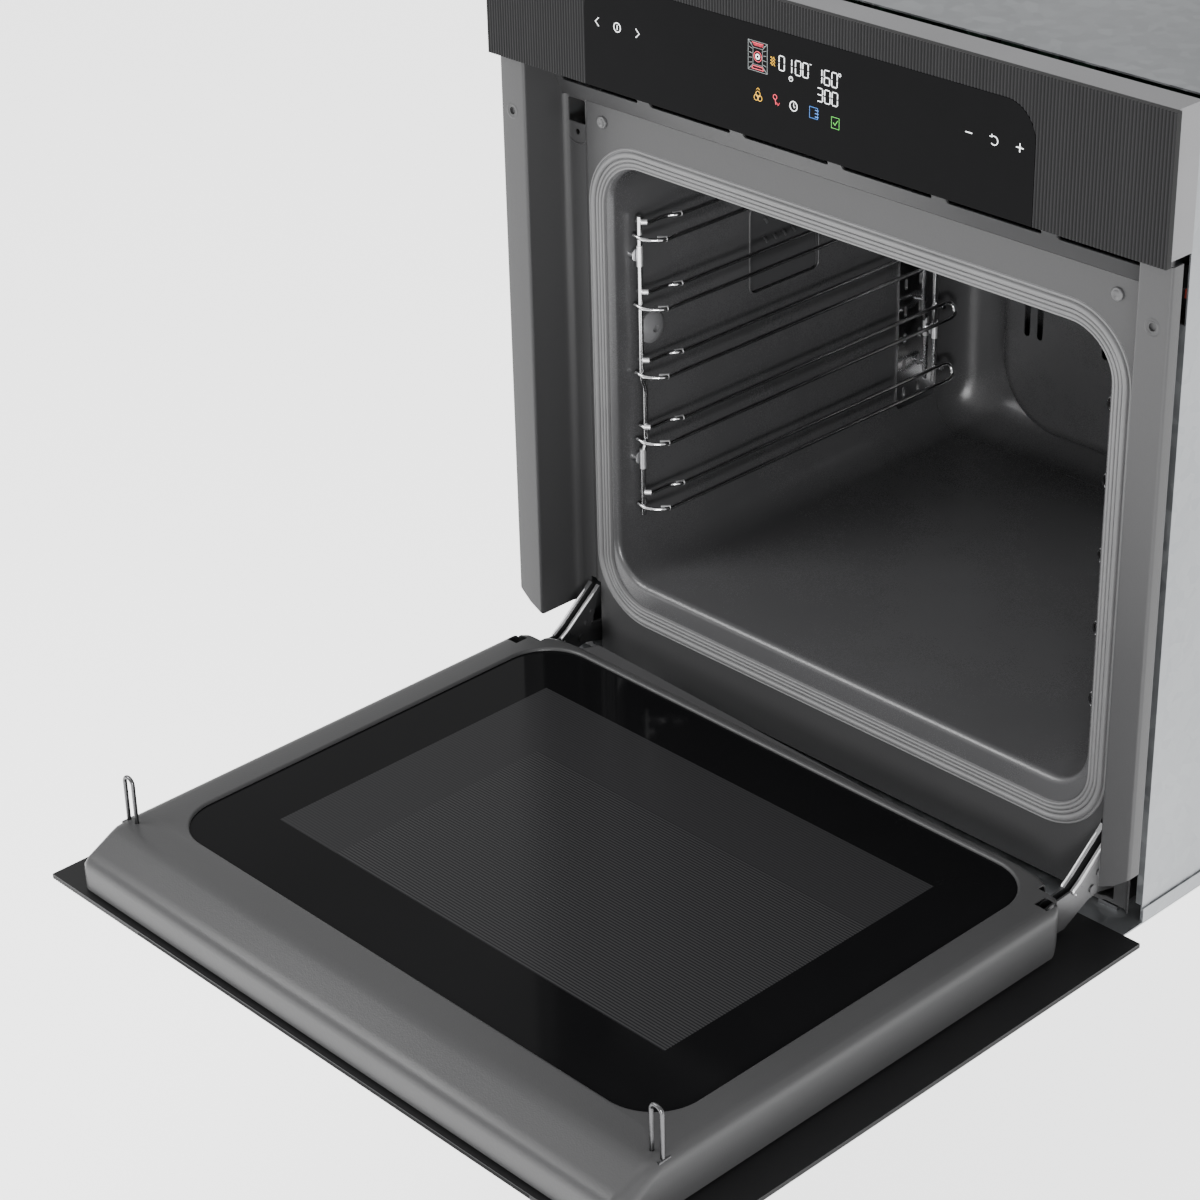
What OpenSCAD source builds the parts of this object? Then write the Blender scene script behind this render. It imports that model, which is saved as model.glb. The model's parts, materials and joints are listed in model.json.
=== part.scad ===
// Built-in wall oven with microwave, drop-down door open at its stop.
// Frame: +X to the viewer's right, +Y into the cabinet, +Z up. The origin is on the underside of the
// carcass, in the middle of its width, in the plane of the cabinet's front edge. Millimetres.

/* [Overall] */
// Width of the control panel and of the door
front_w = 595; // [590:1:600]
// Height from the underside to the top of the control panel
front_h = 595; // [590:1:605]
// Height of the control panel
fascia_h = 97; // [90:1:105]
// How far the control panel and closed door stand in front of the cabinet
front_proud = 21; // [19:0.5:24]
// Width of the carcass that goes into the cabinet
carcass_w = 558; // [556:1:560]
// Depth of the carcass behind the cabinet's front edge
carcass_d = 545; // [530:1:550]
// Thickness of the pressed steel sheet
sheet = 1.2; // [1:0.1:1.5]

/* [Door] */
// Height of the door's outer panel
door_h = 463; // [460:1:464]
// Gap between the control panel and the door
door_gap = 4; // [3:0.5:5]
// Thickness of the outer panel
panel_t = 4; // [3:0.5:4]
// Depth of the pressed inner frame, over the outer panel
door_frame_depth = 40; // [38:0.5:40]
// Half width of the inner frame
door_frame_half_w = 268; // [264:1:268]
// Height of the hinge pins above the underside
pivot_z = 29.5; // [29:0.5:31]
// Depth of the hinge pins behind the cabinet's front edge
pivot_y = 6; // [5.5:0.5:6.5]
// Length of the door handle
handle_len = 440; // [380:10:460]
// Radius of the handle bar
handle_r = 7; // [6:0.5:8]
// Distance from the handle bar's axis to the door's face
handle_reach = 21; // [19:0.5:23]

/* [Cavity] */
// Half width of the cavity
cavity_half_w = 225; // [222:1:225]
// Height of the cavity floor above the underside
cavity_floor_z = 85; // [84:1:88]
// Height of the cavity ceiling above the underside
cavity_top_z = 419; // [415:1:420]
// Depth at which the side walls meet the back pressing
cavity_back_y = 400; // [395:1:405]
// Depth of the back pressing
back_dish = 40; // [36:1:44]
// Radius along the edges of the cavity
cavity_r = 25; // [20:1:30]
// Number of shelf levels
levels = 5; // [4:1:5]
// Height of the lowest shelf wire
level_z0 = 150; // [146:1:154]
// Distance between shelf levels
level_pitch = 55; // [52:1:55]

/* [Controls] */
// Half width of the glossy touch glass
glass_half_w = 196.5; // [180:0.5:210]
// Height of the ribbed band above the touch glass
glass_top_band = 20; // [16:1:26]
// Radius of the touch glass's upper corners
glass_r = 24; // [18:1:30]

/* [Hidden] */
$fn = 64;

fascia_z = front_h - fascia_h;
face_y = -front_proud;
half_w = front_w / 2;
carcass_half_w = carcass_w / 2;
// The trims stand behind the door's face, and the gasket plane lies deep between them
trim_y = face_y + 10;
trim_out = half_w - 1.5;
trim_in = 270.8;
trim_top = fascia_z - 2;
trim_foot = 64;
plane_y = 26;
band_y = 28;
band_in = 250;
plane_half_w = 247;
frame_low = 8;
frame_top = 462;
slope_y = 10;
slope_z = 494;
screw_x = 284;
screw_z = 455;
screw_hole_r = 2.75;
buffer_x = 230;
buffer_z = 449.5;
outlet_slots = 6;
outlet_pitch = 90;
outlet_z = 478;

// Open door: its face looks down, and its top edge lies away from the oven
door_top_z = fascia_z - door_gap;
tip_y = pivot_y + pivot_z - door_top_z;
low_z = pivot_z + face_y - pivot_y;
end_y = tip_y + door_h;
door_in_z = low_z + panel_t + door_frame_depth;

// Gasket and mouth
gasket_half_w = 246;
gasket_low = 50;
gasket_high = 437.5;
gasket_band = 14;
gasket_y = 23.4;
mouth_half_w = 231.2;
mouth_r = 37.2;

// Latches and hinges
latch_x = 258.5;
latch_z = 451;
loop_x = latch_x + 1;
loop_h = 35;
loop_half = 4.6;
loop_wire_r = 1.5;
loop_y = tip_y + 46.5;
// Where the loops stand with the door closed: the switch plungers wait just behind them
loop_z = pivot_z + pivot_y - loop_y;
plunger_y = door_in_z + loop_h + loop_wire_r + pivot_y - pivot_z + 0.5;
plunger_half = 4;
hinge_x = 250;
hinge_slot_w = 13;
hinge_slot_low = 11;
hinge_slot_high = 72;
pin_r = 3;
running = 0.05;
spring_z = 50;
rod_r = 3;
bracket_y = 148;

// Cavity walls and what stands round them
wall = 1;
insulation_half_w = 240;
insulation_y = 38;
insulation_low = 66;
insulation_high = 438;
deck_z = 446;
cover_z = deck_z + 140;
fan_z = 252;
stirrer_y = 235;
magnetron_y = 385;
element_r = 3.2;
element_hole_r = 3.7;
ring_r = 92;
ring_leg_x = 12;
ring_leg_z = fan_z + sqrt(ring_r * ring_r - ring_leg_x * ring_leg_x);
serpentine_half_w = 150;
lower_element_z = cavity_floor_z - wall - element_r - 0.2;
upper_element_z = cavity_top_z - 16;
lamp_y = 212;
lamp_z = 308;
probe_y = 66;
probe_z = 280;
stud_z = [178, 343];
back_y = cavity_back_y + back_dish;
gland_x = -230;
gland_z = 505;
cable_r = 4.6;
rack_x = 219;
shelf_x = 209;
wire_r = 2;

enamel = "#4c4c4e";
zinc = "#a9acae";
steel = "#c9ccce";
black = "#1a1a1b";

module both() {
    children();
    mirror([1, 0, 0]) children();
}
// A plate drawn in X and Z that runs from y to y + t
module facing(y, t) {
    translate([0, y + t, 0]) rotate([90, 0, 0]) linear_extrude(t) children();
}
// A plate drawn in Y and Z that runs from x to x + t
module profile(x, t) {
    translate([x, 0, 0]) rotate([90, 0, 90]) linear_extrude(t) children();
}
module box(low, high) {
    translate(low) cube(high - low);
}
// A rectangle with rounded corners, between two corners
module pad(low, high, r) {
    translate([low[0] + r, low[1]]) square([high[0] - low[0] - 2 * r, high[1] - low[1]]);
    translate([low[0], low[1] + r]) square([high[0] - low[0], high[1] - low[1] - 2 * r]);
    for (x = [low[0] + r, high[0] - r], y = [low[1] + r, high[1] - r]) translate([x, y]) circle(r);
}
module slot(w, h) {
    pad([-w / 2, -h / 2], [w / 2, h / 2], min(w, h) / 2 - 0.01);
}
module rod_y(x, y, z, r, len) {
    translate([x, y, z]) rotate([-90, 0, 0]) cylinder(r = r, h = len);
}
module rod_x(x, y, z, r, len) {
    translate([x, y, z]) rotate([0, 90, 0]) cylinder(r = r, h = len);
}
module rod_z(x, y, z, r, len) {
    translate([x, y, z]) cylinder(r = r, h = len);
}

// ---------- front of the carcass ----------

// Half of the pressed sheet's section, seen from above
module frame_section() {
    polygon([[-0.5, plane_y], [plane_half_w, plane_y], [band_in, band_y], [trim_in, band_y],
        [trim_in, trim_y], [trim_out, trim_y], [trim_out, -1], [trim_out - sheet, -1],
        [trim_out - sheet, trim_y + sheet], [trim_in + sheet, trim_y + sheet],
        [trim_in + sheet, band_y + sheet], [band_in - 0.5, band_y + sheet],
        [plane_half_w - 0.5, plane_y + sheet], [-0.5, plane_y + sheet]]);
}
module front_frame() {
    color(enamel) difference() {
        union() {
            both() translate([0, 0, frame_low]) linear_extrude(frame_top - frame_low)
                frame_section();
            // The trims go on up to the control panel
            both() intersection() {
                translate([0, 0, frame_top - 1]) linear_extrude(trim_top - frame_top + 1)
                    frame_section();
                box([trim_in, trim_y - 1, frame_top - 1], [trim_out + 1, band_y + 2, trim_top]);
            }
            // Dished bosses for the screws into the cabinet
            both() translate([screw_x, 0, screw_z]) facing(trim_y - 0.6, 1.2) circle(8);
        }
        // Chamfered foot of the trims
        both() facing(trim_y - 5, 4.9 - trim_y + plane_y - 1)
            polygon([[trim_in - 3, -5], [trim_in - 3, 46], [trim_out - 12, 54],
                [trim_out + 0.1, trim_foot], [trim_out + 5, trim_foot], [trim_out + 5, -5]]);
        facing(plane_y - 5, 12)
            pad([-mouth_half_w, gasket_low + 14.8], [mouth_half_w, gasket_high - 14.8], mouth_r);
        both() facing(plane_y - 5, 12) translate([latch_x, latch_z]) pad([-8.5, -9], [8.5, 9], 1);
        both() facing(plane_y - 5, 12) translate([latch_x, latch_z - 16]) circle(2.2);
        both() facing(plane_y - 5, 12)
            pad([hinge_x - hinge_slot_w / 2, hinge_slot_low],
                [hinge_x + hinge_slot_w / 2, hinge_slot_high], 1);
        both() facing(plane_y - 5, 12) translate([buffer_x, buffer_z]) circle(3.1);
        both() facing(trim_y - 5, 12) translate([screw_x, screw_z]) circle(screw_hole_r);
    }
}

// Sloping strip under the control panel: the cooling air leaves through its slots
module outlet_strip() {
    color(enamel) difference() {
        profile(-trim_in + 0.3, 2 * trim_in - 0.6)
            polygon([[plane_y, frame_top + 0.2], [slope_y, slope_z], [slope_y, fascia_z + 6],
                [slope_y + sheet, fascia_z + 6], [slope_y + sheet, slope_z + 0.3],
                [plane_y + sheet + 0.2, frame_top + sheet + 0.2],
                [plane_y + 7, frame_top + sheet + 0.2], [plane_y + 7, frame_top + 0.2]]);
        for (k = [0:outlet_slots - 1])
            facing(slope_y - 4, 24) translate([(k - (outlet_slots - 1) / 2) * outlet_pitch, outlet_z])
                slot(78, 5);
    }
}
module door_buffers() {
    color("#2b2b2c") both() {
        rod_y(buffer_x, plane_y, buffer_z, 3, 4);
        rod_y(buffer_x, plane_y - 1.8, buffer_z, 4.6, 1.8);
    }
}
module ring(y, t, out, r_out, in, r_in, low, high) {
    facing(y, t) difference() {
        pad([-out, low], [out, high], r_out);
        pad([-in, low + out - in], [in, high - out + in], r_in);
    }
}
module door_gasket() {
    color("#8d8d8f") union() {
        ring(gasket_y, plane_y - gasket_y - 0.05, gasket_half_w, 52, gasket_half_w - gasket_band - 2,
            36, gasket_low, gasket_high);
        // Tail that clips over the edge of the mouth
        ring(plane_y - 0.1, sheet + 0.3, gasket_half_w - gasket_band - 1, 37,
            gasket_half_w - gasket_band - 2, 36, gasket_low + 15, gasket_high - 15);
    }
}

// ---------- cavity ----------

module cavity_outline(grow) {
    pad([-cavity_half_w - grow, cavity_floor_z - grow],
        [cavity_half_w + grow, cavity_top_z + grow], cavity_r + grow);
}
liner_y = plane_y + sheet + 0.2;
module cavity_liner() {
    color("#3a3a3c") difference() {
        union() {
            facing(liner_y, cavity_back_y - liner_y) cavity_outline(wall);
            facing(liner_y, sheet)
                pad([-insulation_half_w, insulation_low], [insulation_half_w, insulation_high], 34);
        }
        facing(liner_y - 1, cavity_back_y - liner_y + 2) cavity_outline(0);
        profile(-cavity_half_w - 5, 10) pad([lamp_y - 40, lamp_z - 37], [lamp_y + 40, lamp_z + 37], 6);
        rod_x(-cavity_half_w - 5, probe_y, probe_z, 9, 10);
        both() for (y = [rack_y0, rack_y1], z = stud_z) rod_x(cavity_half_w - 5, y, z, 2.6, 10);
        rod_z(0, stirrer_y, cavity_top_z - 5, 42, 10);
    }
}
module back_wall() {
    color("#3a3a3c") difference() {
        union() {
            facing(cavity_back_y + 0.1, back_dish + wall - 0.1) cavity_outline(wall);
            facing(cavity_back_y + 0.1, wall)
                pad([-insulation_half_w, insulation_low], [insulation_half_w, insulation_high], 34);
        }
        facing(cavity_back_y - 1, back_dish + 1) cavity_outline(0);
        // Notch in the flange under the waveguide
        box([-47, cavity_back_y - 1, cavity_top_z + wall + 0.1], [47, cavity_back_y + 3, deck_z]);
        rod_y(0, back_y - 5, fan_z, 6, 12);
        for (x = [-ring_leg_x, ring_leg_x]) rod_y(x, back_y - 5, ring_leg_z, element_hole_r, 12);
        for (x = [-serpentine_half_w, serpentine_half_w]) {
            rod_y(x, back_y - 5, upper_element_z, element_hole_r, 12);
            rod_y(x, cavity_back_y - 5, lower_element_z, element_hole_r, 12);
        }
    }
}
// Raised cover in front of the fan, with a grille and upright side slots
baffle_y = back_y - 36;
module fan_baffle() {
    color("#444446") difference() {
        union() {
            facing(baffle_y, wall) pad([-165, 108], [165, 396], 60);
            ring(baffle_y, back_y - baffle_y - 0.1, 165, 60, 163.8, 58.8, 108, 396);
        }
        for (x = [-135, -122, 122, 135])
            translate([x, 0, 0]) facing(baffle_y - 5, 11) translate([0, fan_z]) slot(6, 120);
        for (k = [-5:5])
            facing(baffle_y - 5, 11) translate([k * 14, fan_z])
                slot(7, 2 * sqrt(80 * 80 - k * k * 196));
        for (x = [-110, 110])
            translate([x, 0, 0]) facing(baffle_y - 5, 11) translate([0, fan_z + 118]) slot(50, 6);
    }
}
module convection_fan() {
    fan_y = back_y - 28;
    color(steel) translate([0, fan_y, fan_z]) rotate([-90, 0, 0]) {
        difference() {
            cylinder(r = 72, h = 1.5);
            translate([0, 0, -1]) cylinder(r = 4.05, h = 4);
        }
        difference() {
            cylinder(r = 9, h = 9);
            translate([0, 0, -1]) cylinder(r = 4.05, h = 12);
        }
        for (a = [0:30:330]) rotate(a) translate([46, -1, 1.4]) cube([25, 1.6, 19]);
    }
}
module fan_motor() {
    color(zinc) {
        rod_y(0, back_y - 30, fan_z, 4, 55);
        rod_y(0, back_y + wall + 18, fan_z, 42, 46);
        for (a = [0, 120, 240])
            translate([0, back_y + wall, fan_z]) rotate([0, a, 0]) rod_y(36, 0, 0, 3, 18.5);
    }
}
module torus(r, wire) {
    rotate_extrude($fn = 96) translate([r, 0]) circle(wire, $fn = 24);
}
module ring_element() {
    color("#5b5450") {
        translate([0, back_y - 14, fan_z]) rotate([90, 0, 0]) torus(ring_r, element_r);
        for (x = [-ring_leg_x, ring_leg_x]) rod_y(x, back_y - 13, ring_leg_z, element_r - 0.1, 30);
    }
}
// A heating rod bent to and fro: straight runs with half round bends
module serpentine(half, y0, y1, runs, r, z) {
    pitch = 2 * half / (runs - 1);
    for (k = [0:runs - 1]) rod_y(-half + k * pitch, y0, z, r, y1 - y0);
    for (k = [0:runs - 2]) translate([-half + (k + 0.5) * pitch, k % 2 == 0 ? y0 : y1, z])
        rotate([0, 0, k % 2 == 0 ? 180 : 0])
            rotate_extrude(angle = 180, $fn = 48) translate([pitch / 2, 0]) circle(r, $fn = 24);
}
module grill_element() {
    color("#5b5450") {
        serpentine(serpentine_half_w, 110, 340, 6, element_r, upper_element_z);
        for (x = [-serpentine_half_w, serpentine_half_w])
            rod_y(x, 340, upper_element_z, element_r, back_y + 16 - 340);
        // Hooks that carry the front of the element
        for (x = [-120, 120]) rod_z(x, 80, upper_element_z + 2, 2, 13.8);
    }
}
module bottom_element() {
    color("#5b5450") {
        serpentine(serpentine_half_w, 110, 340, 6, element_r, lower_element_z);
        for (x = [-serpentine_half_w, serpentine_half_w]) rod_y(x, 340, lower_element_z, element_r, 90);
    }
}

// ---------- microwave ----------

module stirrer() {
    color(zinc) translate([0, stirrer_y, cavity_top_z + 6]) difference() {
        union() {
            cylinder(r = 9, h = 6);
            for (a = [0:60:300]) rotate(a) translate([5, -6, 2]) rotate([18, 0, 0]) cube([30, 11, 1]);
        }
        translate([0, 0, -8]) cylinder(r = 3.05, h = 22);
    }
}
module waveguide() {
    color(zinc) difference() {
        box([-45, stirrer_y - 45, cavity_top_z + 1.2], [45, magnetron_y + 35, cavity_top_z + 40]);
        box([-44, stirrer_y - 44, cavity_top_z + 0.2], [44, magnetron_y + 34, cavity_top_z + 39]);
        rod_z(0, stirrer_y, cavity_top_z + 30, 3.3, 20);
        rod_z(0, magnetron_y, cavity_top_z + 30, 13, 20);
    }
}
module stirrer_motor() {
    color("#d8d2c4") {
        rod_z(0, stirrer_y, cavity_top_z + 3, 3, 40);
        translate([0, stirrer_y, cavity_top_z + 40.2]) cylinder(r = 24, h = 16);
    }
}
module magnetron() {
    color(zinc) {
        translate([0, magnetron_y, cavity_top_z]) {
            rod_z(0, 0, 16, 10, 32);
            // Cooling fins on both sides of the tube
            difference() {
                box([-48, -40, 42], [48, 40, 120]);
                both() for (k = [0:6]) box([6, -35, 50 + k * 9], [50, 35, 55 + k * 9]);
            }
            box([-30, -25, 119.9], [30, 25, 140]);
        }
    }
}
module hv_transformer() {
    color("#70685c") {
        translate([175, 425, deck_z + sheet]) {
            box([-45, -45, 0], [45, 45, 69]);
            box([-35, -59, 11], [35, 59, 57]);
            box([-51, -53, 0], [51, 53, 2]);
        }
    }
}
module hv_capacitor() {
    color(zinc) {
        translate([113, 290, deck_z + sheet]) {
            box([-17, -40, 0], [17, 40, 55]);
            for (y = [-15, 15]) rod_z(0, y, 54.9, 3, 9);
        }
    }
}

// ---------- light, probe and racks ----------

module lamp_housing() {
    color("#38383a") difference() {
        box([-cavity_half_w - 13, lamp_y - 44, lamp_z - 41],
            [-cavity_half_w - wall - 0.1, lamp_y + 44, lamp_z + 41]);
        box([-cavity_half_w - 12, lamp_y - 38, lamp_z - 35],
            [-cavity_half_w + 1, lamp_y + 38, lamp_z + 35]);
    }
}
module lamp_lens() {
    color("#dfe6ea") profile(-cavity_half_w - 5, 3)
        pad([lamp_y - 37.5, lamp_z - 34.5], [lamp_y + 37.5, lamp_z + 34.5], 5);
}
module lamp_bulb() {
    color("#f4efe0") union() {
        rod_y(-cavity_half_w - 8.6, lamp_y - 12, lamp_z, 3, 24);
        rod_y(-cavity_half_w - 8.6, lamp_y - 24, lamp_z, 2, 13);
    }
}
module probe_socket() {
    color("#7d7d80") {
        rod_x(-cavity_half_w - 13, probe_y, probe_z, 8.8, 13.5);
        difference() {
            translate([-cavity_half_w + 0.1, probe_y, probe_z]) rotate([0, 90, 0]) rotate_extrude()
                intersection() {
                    translate([0, -14]) circle(20);
                    square([12.5, 6]);
                }
            rod_x(-cavity_half_w + 2, probe_y, probe_z, 3, 8);
        }
    }
}
// One side's shelf runners: two uprights and two wires at each level
rack_low = level_z0 - 17;
rack_high = level_z0 + (levels - 1) * level_pitch + 5;
rack_y0 = 50;
rack_y1 = 388;
module rack() {
    for (y = [rack_y0, rack_y1]) rod_z(rack_x, y, rack_low, 2.5, rack_high - rack_low);
    for (k = [0:levels - 1]) {
        z = level_z0 + k * level_pitch;
        for (drop = [0, 1]) {
            x = shelf_x - 7 * drop;
            rod_y(x, rack_y0 - wire_r, z - 13 * drop, wire_r, rack_y1 - rack_y0 + 2 * wire_r);
            for (y = [rack_y0, rack_y1]) rod_x(x, y, z - 13 * drop, wire_r - 0.1, rack_x - x);
        }
    }
}
module rack_left() { color(steel) mirror([1, 0, 0]) rack(); }
module rack_right() { color(steel) rack(); }
// Studs through the side walls that the uprights hook on, and a punched plate behind each rear upright
module rack_supports() {
    color(steel) both() {
        for (y = [rack_y0, rack_y1], z = stud_z) {
            difference() {
                rod_x(rack_x + 2.8, y, z, 5, cavity_half_w - rack_x - 2.8);
                rod_z(rack_x, y, z - 6, 2.9, 12);
            }
            rod_x(cavity_half_w - 0.1, y, z, 2.5, 6);
        }
        difference() {
            profile(cavity_half_w - 1.3, 1.2) pad([rack_y1 - 40, 116], [rack_y1 + 8, 392], 4);
            for (y = [rack_y1 - 32, rack_y1 - 14], z = [130:24:378])
                profile(cavity_half_w - 3, 5) translate([y, z]) slot(4, 10);
        }
    }
}
module insulation() {
    color("#cfc9b4") difference() {
        facing(insulation_y, back_y + 15 - insulation_y)
            pad([-insulation_half_w, insulation_low], [insulation_half_w, insulation_high], 34);
        facing(liner_y, cavity_back_y - liner_y) cavity_outline(wall + 0.2);
        facing(cavity_back_y - 1, back_dish + 2.3) cavity_outline(wall + 0.2);
        facing(cavity_back_y - 0.3, 2) pad([-insulation_half_w - 1, insulation_low - 1],
            [insulation_half_w + 1, insulation_high + 1], 34);
        box([-160, 100, cavity_floor_z - 9], [160, 450, cavity_floor_z]);
        box([-170, 70, cavity_floor_z - 9], [170, 380, cavity_floor_z]);
        box([-cavity_half_w - 16, lamp_y - 45, lamp_z - 42], [-cavity_half_w, lamp_y + 45, lamp_z + 42]);
        rod_x(-cavity_half_w - 20, probe_y, probe_z, 10, 22);
        box([-46, stirrer_y - 46, cavity_top_z], [46, magnetron_y + 36, insulation_high + 5]);
        both() for (y = [rack_y0, rack_y1], z = stud_z) rod_x(cavity_half_w - 1, y, z, 4, 9);
        rod_y(0, back_y - 1, fan_z, 43, 40);
        for (x = [-ring_leg_x, ring_leg_x]) rod_y(x, back_y - 1, ring_leg_z, 5, 30);
        for (x = [-serpentine_half_w, serpentine_half_w]) rod_y(x, back_y - 1, upper_element_z, 5, 30);
    }
}

// ---------- carcass ----------

module base_panel() {
    color(zinc) {
        box([-carcass_half_w, -8, 0], [carcass_half_w, carcass_d, sheet]);
        both() box([carcass_half_w - sheet, band_y + 4, sheet - 0.1], [carcass_half_w, carcass_d, 12]);
    }
}
module side_panels() {
    color(zinc) both() difference() {
        union() {
            box([carcass_half_w - 2 * sheet - 0.1, band_y + 4, sheet + 0.2],
                [carcass_half_w - sheet - 0.1, carcass_d - sheet - 0.1, cover_z]);
            box([trim_in + sheet + 0.2, band_y + 4, 14],
                [carcass_half_w - sheet - 0.1, band_y + 4 + sheet, 440]);
        }
        for (k = [0:7]) profile(carcass_half_w - 10, 20) translate([300 + k * 24, 500]) slot(6, 60);
    }
}
module top_cover() {
    color(zinc) difference() {
        union() {
            box([-carcass_half_w, 34, cover_z + 0.2], [carcass_half_w, carcass_d, cover_z + 1.4]);
            both() box([carcass_half_w - sheet, 34, cover_z - 20],
                [carcass_half_w, carcass_d, cover_z + 0.3]);
        }
        for (k = [0:9]) translate([-108 + k * 24, 470, cover_z - 10]) linear_extrude(20) slot(6, 60);
    }
}
module rear_panel() {
    color(zinc) difference() {
        box([-carcass_half_w + 2.6, carcass_d - sheet, sheet + 0.2],
            [carcass_half_w - 2.6, carcass_d, cover_z]);
        for (k = [0:9]) facing(carcass_d - 10, 20) translate([-108 + k * 24, 250]) slot(6, 70);
        rod_y(gland_x, carcass_d - 10, gland_z, 11.05, 20);
    }
}
// Deck over the insulation that carries the electrics and guides the cooling air
module air_channel() {
    color(zinc) difference() {
        union() {
            box([-carcass_half_w + 3, 36, deck_z], [carcass_half_w - 3, carcass_d - 3, deck_z + sheet]);
            profile(-240, 480) polygon([[30, 478], [30, 479.2], [90, 500], [230, 500], [230, 498.8],
                [90.4, 498.8], [31, 478]]);
            for (x = [-240, 239]) profile(x, 1) polygon([[34, deck_z + 1], [34, 478.6], [90, 499],
                [230, 499], [230, deck_z + 1]]);
        }
        box([-47, stirrer_y - 47, deck_z - 1], [47, magnetron_y + 45, deck_z + 3]);
        // Notches round the door switches
        both() box([latch_x - 14, 30, deck_z - 1], [carcass_half_w, 104, deck_z + 3]);
    }
}
blower_x = -150;
blower_y = 330;
blower_z = deck_z + 62;
module blower_housing() {
    color(zinc) difference() {
        union() {
            rod_x(blower_x - 42, blower_y, blower_z, 58, 84);
            box([blower_x - 42, 236, deck_z + 6], [blower_x + 42, blower_y, deck_z + 46]);
        }
        rod_x(blower_x - 41, blower_y, blower_z, 57, 82);
        box([blower_x - 41, 235, deck_z + 7], [blower_x + 41, blower_y, deck_z + 45]);
        rod_x(blower_x - 50, blower_y, blower_z, 34, 20);
        rod_x(blower_x + 35, blower_y, blower_z, 10, 20);
    }
}
module blower_wheel() {
    color(zinc) {
        difference() {
            rod_x(blower_x + 25, blower_y, blower_z, 46, 2);
            rod_x(blower_x + 20, blower_y, blower_z, 3.05, 20);
        }
        difference() {
            rod_x(blower_x - 33, blower_y, blower_z, 46, 2);
            rod_x(blower_x - 35, blower_y, blower_z, 38, 8);
        }
        translate([blower_x - 31.1, blower_y, blower_z])
            for (a = [0:15:345]) rotate([a, 0, 0]) translate([0, 39, -0.6]) cube([56.2, 6, 1.2]);
    }
}
module blower_motor() {
    color("#555759") {
        rod_x(blower_x + 8, blower_y, blower_z, 3, 40);
        rod_x(blower_x + 44, blower_y, blower_z, 26, 44);
        box([blower_x + 50, blower_y - 18, deck_z + sheet], [blower_x + 80, blower_y + 18, blower_z - 20]);
    }
}
module terminal_block() {
    color("#d9d6cc") difference() {
        box([-250, 470, deck_z + sheet], [-190, 500, deck_z + 26]);
        for (k = [0:4]) rod_z(-242 + k * 11, 485, deck_z + 14, 3, 20);
    }
}
module cable_gland() {
    color(black) difference() {
        union() {
            rod_y(gland_x, carcass_d - 14, gland_z, 11, 16);
            rod_y(gland_x, carcass_d + 0.05, gland_z, 15, 9);
            rod_y(gland_x, carcass_d - 12, gland_z, 14, 10.6);
        }
        rod_y(gland_x, carcass_d - 20, gland_z, cable_r, 40);
    }
}
module screw_head(x, y, z) {
    difference() {
        rod_y(x, y, z, 4, 2.2);
        facing(y + 1, 3) translate([x, z]) square([5, 1], center = true);
    }
}
module carcass_screws() {
    color(steel) for (x = [-262:131:262], z = [24, cover_z - 10])
        screw_head(x, carcass_d + 0.05, z);
}

// ---------- control panel ----------

module glass_outline(grow) {
    difference() {
        pad([-glass_half_w - grow, fascia_z - 60], [glass_half_w + grow, front_h - glass_top_band + grow],
            glass_r + grow);
        translate([-half_w, fascia_z - 80]) square([front_w, 80 - grow]);
    }
}
module fascia_panel() {
    color("#363638") difference() {
        box([-half_w, face_y, fascia_z], [half_w, face_y + 5, front_h]);
        facing(face_y - 1, 7) glass_outline(0.25);
    }
}
module touch_glass() {
    color("#0c0c0d") facing(face_y + 0.2, 4.5) glass_outline(0);
}
module fascia_carrier() {
    color("#2a2a2b") {
        difference() {
            box([-half_w + 4, face_y + 5.2, fascia_z + 1], [half_w - 4, slope_y - 0.1, front_h - 1]);
            box([-half_w + 7, face_y + 7.2, fascia_z + 3], [half_w - 7, slope_y - 2.1, front_h - 3]);
            box([-half_w + 30, 0, fascia_z + 8], [half_w - 30, slope_y + 1, front_h - 8]);
        }
        // Arms that reach back to the side panels
        both() box([carcass_half_w - 5.7, slope_y - 2, fascia_z + 8],
            [carcass_half_w - 2.7, slope_y + 60, fascia_z + 50]);
    }
}
module display_module() {
    color("#153524") {
        box([-70, face_y + 7.4, fascia_z + 20], [70, face_y + 9, front_h - 20]);
        box([-55, face_y + 9, fascia_z + 26], [55, face_y + 14, front_h - 26]);
    }
}
module control_board() {
    color("#1d5134") {
        box([-225, 100, deck_z + 92], [225, 200, deck_z + 93.6]);
        for (x = [-200, 200], y = [110, 190]) rod_z(x, y, deck_z + 54, 2.5, 38.1);
        box([-180, 120, deck_z + 93.5], [-120, 170, deck_z + 125]);
        for (x = [-90, -60, -30]) rod_z(x, 140, deck_z + 93.5, 9, 24);
        for (x = [20, 50, 80, 110]) box([x, 125, deck_z + 93.5], [x + 18, 145, deck_z + 109]);
        box([150, 110, deck_z + 93.5], [210, 130, deck_z + 105]);
    }
}

// ---------- door interlock ----------

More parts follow.
